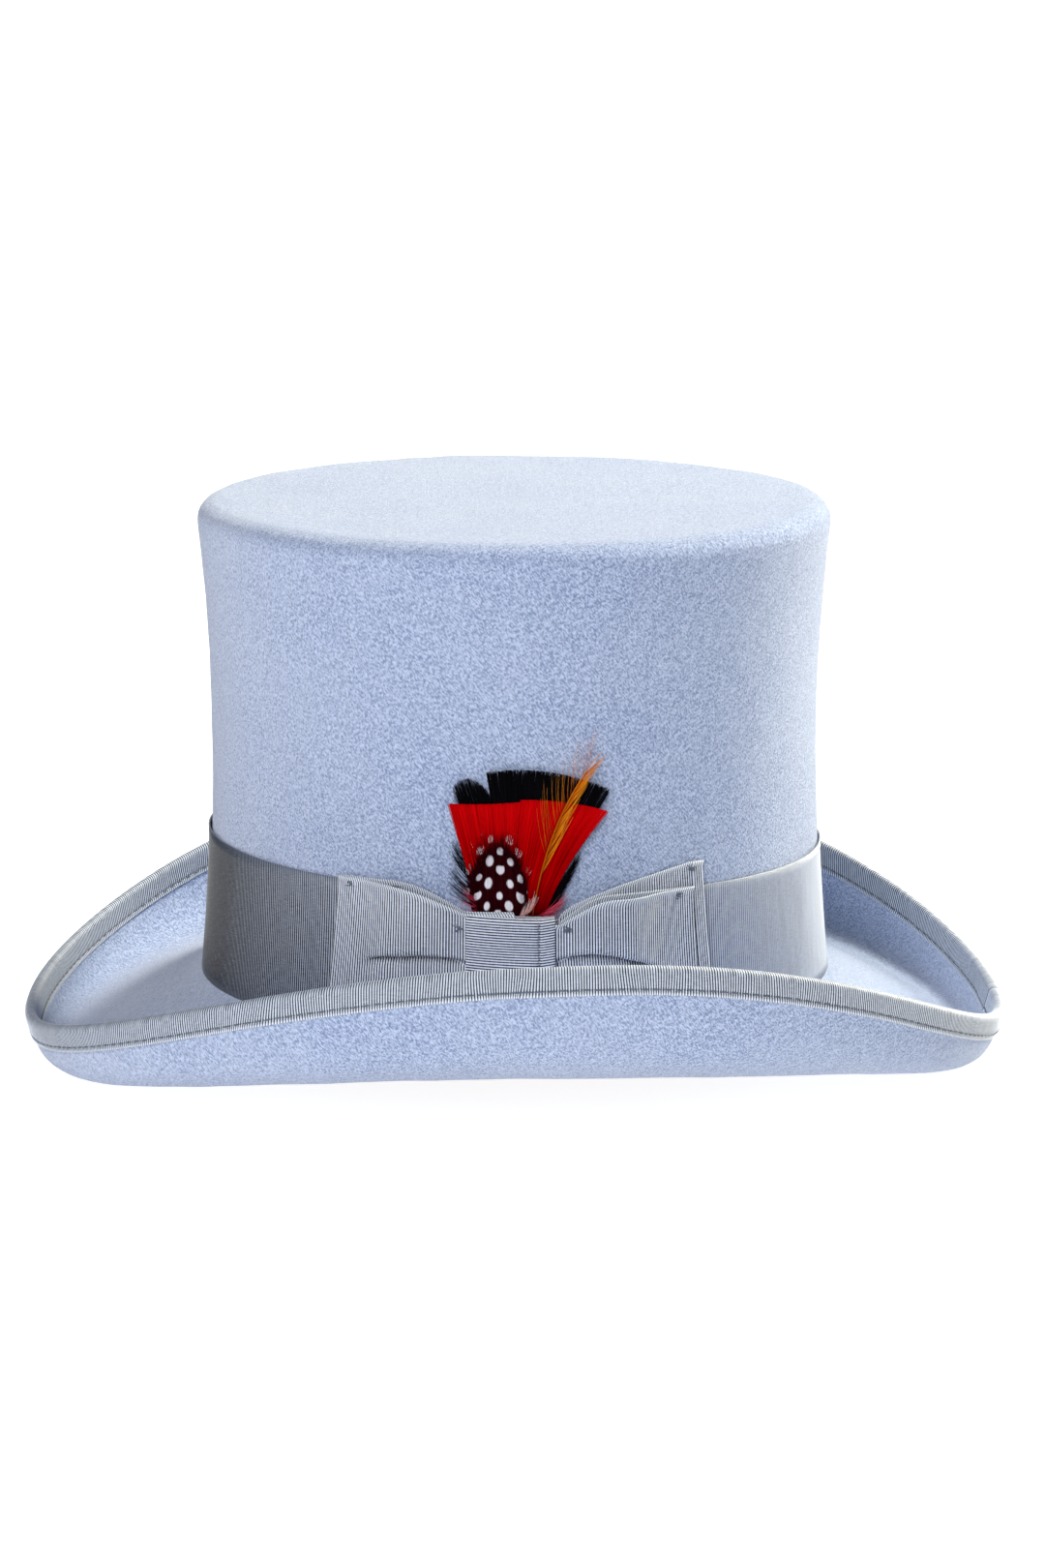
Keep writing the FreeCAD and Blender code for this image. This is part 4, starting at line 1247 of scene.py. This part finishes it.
def golden_barbs(name, handles, count, span, lengths, lean, width, seed):
    """Barbs down one side of the quill, leaning off it by an angle in degrees."""
    draw = np.random.default_rng(seed)
    share = (span[0] + (span[1] - span[0]) * (np.arange(count) + draw.random(count)) / count)[:, None]
    root = arc(*handles, share)
    along = unit((handles[1] - handles[0]) * (1 - share) + (handles[2] - handles[1]) * share)
    length = (lengths[0] + (lengths[1] - lengths[0]) * draw.random(count)) * (1.15 - 0.55 * share[:, 0])
    turn = np.radians(lean * (0.75 + 0.5 * draw.random(count)))
    run_x = along[:, 0] * np.cos(turn) - along[:, 1] * np.sin(turn)
    run_y = along[:, 0] * np.sin(turn) + along[:, 1] * np.cos(turn)
    tip = root + np.column_stack([run_x * length, run_y * length, 0.3 * draw.random(count)])
    middle = (root + tip) / 2 - along * 0.02 * length[:, None]
    middle[:, 0] -= np.sign(lean) * 0.06 * length
    stands_for = ["feather_golden"] if lean < 0 else ()
    strands(name, root, middle, tip, width, GOLD_LOOK, stands_for, thick=0.08, seed=seed)


def feathers():
    fan("feather_black_small_barbs", (-8, -3, VANE_BASE), (-21.5, -8.8, 84.5, 81.5), 4.2, 1, 260, 0.3,
        BLACK_LOOK, ["feather_black_small"], 11, fringe=3.4, sweep=2.2, keep=0.35)
    fan("feather_black_wide_barbs", (-3, 4, VANE_BASE), (-10.3, 29.8, 89.6, 83.2), 3.2, 2, 620, 0.3,
        BLACK_LOOK, ["feather_black_wide"], 12, fringe=1.6, keep=0.6)
    fan("feather_red_left_barbs", (-12, 0, VANE_BASE), (-22.5, 6, 79.2, 80.6), -0.4, 3, 420, 0.34, RED_LOOK,
        ["feather_red_left"], 13, fringe=0.7)
    fan("feather_red_right_barbs", (-2, 8.6, VANE_BASE), (1, 28.9, 80.9, 76.4), 1.2, 4, 420, 0.34, RED_LOOK,
        ["feather_red_right"], 14, fringe=0.7, bend=-5.0)
    fan("feather_guinea_barbs", (-14.5, 3, VANE_BASE), (-16.5, 2.8, 55, 55), 12, 5, 300, 0.26, GUINEA_LOOK,
        ["feather_guinea"], 15, fringe=4.5, spots=guinea_spots, segments=56, keep=0.4)
    wisps("feather_guinea_fringe_left", ((-13.5, 48), (-10.5, 62)), ((-17.2, 55), (-12.5, 69)), 60, 0.17,
          GUINEA_LOOK, (), 26, 5, scatter=0.7, curl=0.3, spots=guinea_spots)
    wisps("feather_guinea_fringe_right", ((0.5, 48), (-3, 62)), ((4.2, 55), (-1.5, 69)), 60, 0.17,
          GUINEA_LOOK, (), 27, 5, scatter=0.7, curl=0.3, spots=guinea_spots)
    wisps("feather_guinea_fringe_top", ((-10, 63), (-3.5, 63)), ((-12, 70), (-2.5, 70)), 50, 0.17,
          GUINEA_LOOK, (), 28, 5, scatter=0.7, curl=0.0, spots=guinea_spots)
    golden_feather()
    wisps("feather_hackle_left_barbs", ((-14.5, 46), (-15.5, 60)), ((-22.5, 52), (-21.0, 69)), 60, 0.24,
          BLACK_LOOK, ["feather_hackle_left"], 21, 0)
    wisps("feather_hackle_right_barbs", ((7.0, 43.5), (11.5, 50)), ((12.5, 46), (20.5, 63.5)), 160, 0.34,
          BLACK_LOOK, ["feather_hackle_right"], 22, 0, scatter=0.5, curl=0.5)
    wisps("feather_fluff_left", ((-13, 43.5), (-13.5, 50)), ((-18, 45), (-17.5, 54)), 26, 0.12, PINK_LOOK,
          (), 23, 5)
    wisps("feather_fluff_right", ((6, 43.5), (9.5, 46)), ((12, 44.5), (15.5, 51)), 50, 0.14, PINK_LOOK,
          (), 24, 5)
    wisps("feather_fluff_middle", ((0, 43.5), (3.5, 44.5)), ((1.5, 46), (6, 50.5)), 40, 0.18, PALE_LOOK,
          (), 25, 6, scatter=0.6)
    level = vane_level(2)
    root, bend, tip = np.array([[[1, VANE_BASE, level]], [[5, 66, level + 0.3]], [[11, 88, level]]])
    strands("feather_black_wide_quill", root, bend, tip, 0.9, BLACK_LOOK, segments=24,
            thick=0.4, keep=0.2, seed=2)
    tab()


def tab():
    """The card that the quills are glued to, behind the knot."""
    across = (KNOT_LEFT + KNOT_RIGHT) / 2 + TAB_WIDTH * np.linspace(-0.5, 0.5, 13)
    height = np.linspace(TAB_BOTTOM, TAB_TOP, 19)
    front = side_point(across[:, None], height[None, :], 2 * GAP + TAB)
    back = side_point(across[:, None], height[None, :], 2 * GAP)
    points, faces = closed_sheet(front, back)
    make_object("feather_card", points, faces, CARD_LOOK, "feather_spray", ["feather_tab"])


# ---------------------------------------------------------------- inside of the crown


def lining():
    """Satin: a strip with soft upright folds, and an oval laid under the tip."""
    angles = circle(360)
    share = np.linspace(0, 1, 26)
    height = LINING_BOTTOM + (LINING_TOP - LINING_BOTTOM) * share
    folds = 0.6 * wander(angles * 30 / np.pi, 1.0, 51) + 0.4 * wander(angles * 90 / np.pi, 1.0, 52)
    folds = np.abs(folds)[:, None] * (0.35 + 0.65 * np.sin(np.pi * share))[None, :]
    depth = LINING_DEPTH + LINING_FOLD * folds
    outer = wall_point(angles[:, None], height[None, :], -depth)
    inner = wall_point(angles[:, None], height[None, :], -depth - LINING)
    points, faces = closed_sheet(outer, inner, close_rows=True)
    side = make_object("lining_side_satin", points, faces, SATIN_LOOK, "hat",
                       ["lining_side"])
    rings = np.linspace(0.02, 1, 24)
    top = CROWN_HEIGHT - FELT - GAP
    rim = wall_point(angles[::2], top, -TIP_EDGE_RADIUS - GAP)
    middle = np.array([0.0, 0.0, FLOOR_TO_BREAK + top])
    flat = middle + (rim - middle)[:, None] * rings[None, :, None]
    pucker = 0.35 * cloud(flat, 0.04, 61.0) * rings[None, :] + 0.35
    upper = flat - vectors(0.0, 0.0, pucker)
    lower = upper - (0.0, 0.0, LINING)
    points, faces = closed_sheet(upper, lower, close_rows=True)
    tip = make_object("lining_tip_satin", points, faces, SATIN_LOOK, "hat", ["lining_tip"])


def sweatband():
    """The leather band with its rolled edges, its reed and its stitches."""
    angles = circle(360)
    share = np.concatenate([[0, 0.01], np.linspace(0.03, 0.97, 22), [0.985, 1]])
    height = SWEATBAND_BOTTOM + (SWEATBAND_TOP - SWEATBAND_BOTTOM) * share
    line = -0.25 * hill(share - 0.93, 0.012)
    soft = 0.25 * cloud(vectors(200 * angles[:, None] / np.pi, height[None, :], 0.0), 0.05, 71.0)
    depth = SWEATBAND_DEPTH + 0.2 + soft * np.sin(np.pi * share)[None, :]
    outer = wall_point(angles[:, None], height[None, :], -depth)
    rolled = 0.25 * (hill(share - 1, 0.01) + hill(share, 0.01))
    inner = wall_point(angles[:, None], height[None, :], -depth - SWEATBAND - line[None, :] + rolled[None, :])
    points, faces = closed_sheet(outer, inner, close_rows=True)
    band = make_object("sweatband_leather", points, faces, LEATHER_LOOK, "hat",
                       ["sweatband"])
    reed()
    angles = circle(SWEATBAND_STITCHES)
    height = SWEATBAND_BOTTOM + SEAM_INSET
    depth = SWEATBAND_DEPTH + 0.2 + SWEATBAND
    starts = wall_point(angles - HALF_STITCH_TURN, height, -depth)
    ends = wall_point(angles + HALF_STITCH_TURN, height, -depth)
    outs = wall_point(angles, height, -depth - 1) - (starts + ends) / 2
    stitches("sweatband_stitches", starts, ends, outs, 0.22, ["sweatband_thread"])


def reed():
    """The plastic cord sewn into the sweatband's lower edge."""
    angles = circle(240)
    turn = circle(12)
    height = SWEATBAND_BOTTOM - REED_RADIUS - GAP + REED_RADIUS * np.sin(turn)
    depth = SWEATBAND_DEPTH + REED_RADIUS - REED_RADIUS * np.cos(turn)
    points = wall_point(angles[:, None], height, -depth)
    faces = grid_faces(len(angles), len(turn), True, True)
    make_object("sweatband_reed_tube", points.reshape(-1, 3), faces, REED_LOOK, "hat",
                ["sweatband_reed"])


def small_bow():
    """A flat tied ribbon over the sweatband's joint, and the blank label above it."""
    depth = SWEATBAND_DEPTH + SWEATBAND + 6 * GAP
    half = SMALL_BOW_WIDTH / 2
    stops = np.linspace(-half, half, 80)
    level = depth + 0.9 - 0.75 * np.abs(stops) / half
    turn = np.linspace(0, np.pi, 10)[1:-1]
    fold = 0.28
    right = np.stack([half + fold * np.sin(turn), depth + fold * (1 - np.cos(turn))], axis=1)
    front = np.stack([stops, level + 2 * fold], axis=1)[::-1]
    left = np.stack([-half - fold * np.sin(turn), depth + fold * (1 + np.cos(turn))], axis=1)
    path = np.concatenate([np.stack([stops, 0 * stops + depth], axis=1), right, front, left,
                           [[-half, depth]]])
    path, run = even_path(path, RIB_STEP)
    path, run = path[:-1], run[:-1]
    tall = SMALL_BOW_TIED + SMALL_BOW_OPENS * ramp(np.abs(path[:, 0]), 1.0, half)
    share = np.linspace(-0.5, 0.5, 11)
    height = SMALL_BOW_MIDDLE + tall[:, None] * share
    angle = path[:, 0][:, None] / SEMI_WIDTH
    middle = wall_point(angle, height, -path[:, 1][:, None])
    piece = ribbon_piece("sweatband_bow_ribbon", middle, run, height, SMALL_RIBBON, BOW_LOOK,
                         ["sweatband_bow"], close_rows=True, rise=SMALL_RIB_RISE)
    label(depth - 4 * GAP)


def label(depth):
    """The blank woven label on the sweatband."""
    across = np.linspace(-LABEL_WIDTH / 2, LABEL_WIDTH / 2, 61)
    height = LABEL_BOTTOM + np.linspace(0, LABEL_HEIGHT, 37)
    rise = 0.15 * cloud(vectors(across[:, None], height[None, :], 0.0), 0.15, 81.0)
    front = wall_point(across[:, None] / SEMI_WIDTH, height[None, :], -depth - RIBBON - 0.2 - rise)
    back = wall_point(across[:, None] / SEMI_WIDTH, height[None, :], -depth - 0.2)
    points, faces = closed_sheet(front, back)
    piece = make_object("sweatband_label", points, faces, LABEL_LOOK, "hat", ["size_label"])


felt_body()
brim_binding()
crown_band()
bow()
seam_on_binding("rim_stitches_top", BINDING_TOP_WIDTH, 1, "binding_thread_top")
seam_on_binding("rim_stitches_under", BINDING_UNDER_WIDTH, -1, "binding_thread_under")
feathers()
lining()
sweatband()
small_bow()


# ---------------------------------------------------------------- stage, lights and camera

# From here on, lengths are metres.
# The floor's painted glow: it lights the hat though it is no lamp.
FLOOR_GLOW = 0.87
GREY_SHARE = 0.12  # of the glow that is left far from the hat
FLOOR_HALF = 2.6
FLOOR_FRONT = -2.0
CURVE_START = 1.6  # where the floor starts to curve up into the backdrop
BACKDROP_TOP = 3.4
WORLD_STRENGTH = 0.03
CAMERA_PLACE = (-0.0194, -1.434, 0.4406)
CAMERA_PITCH = 13.78
CAMERA_YAW = 0.88
CAMERA_LENS = 101.5
SENSOR = 36.0
WHITE = (1.0, 1.0, 1.0)
WARM = (1.0, 0.95, 0.78)
# Name, place, height on the hat it is aimed at, size, power and tint of each light.
LIGHTS = (
    ("key", (-0.6, -1.95, 1.15), 0.1, (0.9, 0.9), 18.5, WHITE),
    ("key_low", (-0.75, -1.9, 0.6), 0.1, (0.5, 0.5), 8.0, WHITE),
    ("key_high", (-1.0, -1.4, 1.7), 0.1, (0.5, 0.5), 15.0, WHITE),
    ("rim_right", (1.45, 1.15, 0.45), 0.1, (0.3, 0.8), 42.0, WARM),
    ("top_right", (1.2, 0.6, 1.7), 0.18, (0.8, 0.6), 80.0, WARM),
)


def floor_material():
    """Painted glow: white light given off round the hat, so its shadow stays faint, falling to dim blue
    further off.
    """
    n = Nodes("floor")
    place = n.add("ShaderNodeSeparateXYZ")
    n.feed(place, "Vector", (n.add("ShaderNodeTexCoord"), "Object"))
    side = n.bend(n.math("ABSOLUTE", (place, "X")), 0.6, 1.0, 1.0, GREY_SHARE)
    front = n.bend((place, "Y"), -0.9, -0.52, GREY_SHARE, 1.0)
    high = n.bend((place, "Z"), 0.4, 0.8, 1.0, GREY_SHARE)
    share = n.math("MULTIPLY", n.math("MULTIPLY", side, front), high)
    return n.finish(Base_Color=colour(160, 160, 160), Roughness=0.9, Specular_IOR_Level=0.1,
                    Emission_Color=n.blend(share, colour(150, 180, 255), colour(255, 255, 255)),
                    Emission_Strength=n.math("MULTIPLY", share, FLOOR_GLOW))


def floor():
    """A pale floor with a painted glow round the hat, curving up behind it."""
    turn = np.linspace(0.1, np.pi / 2, 14)
    depth = np.concatenate([np.linspace(FLOOR_FRONT, CURVE_START, 10), CURVE_START + np.sin(turn)])
    rise = np.concatenate([np.zeros(10), 1 - np.cos(turn)])
    depth = np.append(depth, depth[-1])
    rise = np.append(rise, BACKDROP_TOP)
    across = np.linspace(-FLOOR_HALF, FLOOR_HALF, 12)
    points = vectors(across[:, None], depth, rise).reshape(-1, 3)
    faces = grid_faces(len(across), len(depth))
    mesh_object("floor", points, faces, floor_material())


def add_to_scene(name, data, place):
    thing = bpy.data.objects.new(name, data)
    bpy.context.scene.collection.objects.link(thing)
    thing.location = place
    return thing


def area_light(name, place, aim, size, power, tint):
    data = bpy.data.lights.new(name, "AREA")
    data.shape = "RECTANGLE"
    data.size, data.size_y = size
    data.energy = power
    data.color = tint
    lamp = add_to_scene(name, data, place)
    lamp.rotation_mode = "QUATERNION"
    lamp.rotation_quaternion = (Vector((0.0, 0.0, aim)) - Vector(place)).to_track_quat("-Z", "Y")


def world():
    studio = bpy.data.worlds.new("studio")
    bpy.context.scene.world = studio
    studio.use_nodes = True
    background = studio.node_tree.nodes["Background"]
    background.inputs["Color"].default_value = (*WHITE, 1.0)
    background.inputs["Strength"].default_value = WORLD_STRENGTH


def camera():
    data = bpy.data.cameras.new("camera")
    data.lens = CAMERA_LENS
    data.sensor_width = SENSOR
    eye = add_to_scene("camera", data, CAMERA_PLACE)
    eye.rotation_euler = (radians(90 - CAMERA_PITCH), 0.0, radians(-CAMERA_YAW))
    bpy.context.scene.camera = eye
    bpy.context.scene.view_settings.view_transform = "Standard"


floor()
for row in LIGHTS:
    area_light(*row)
world()
camera()
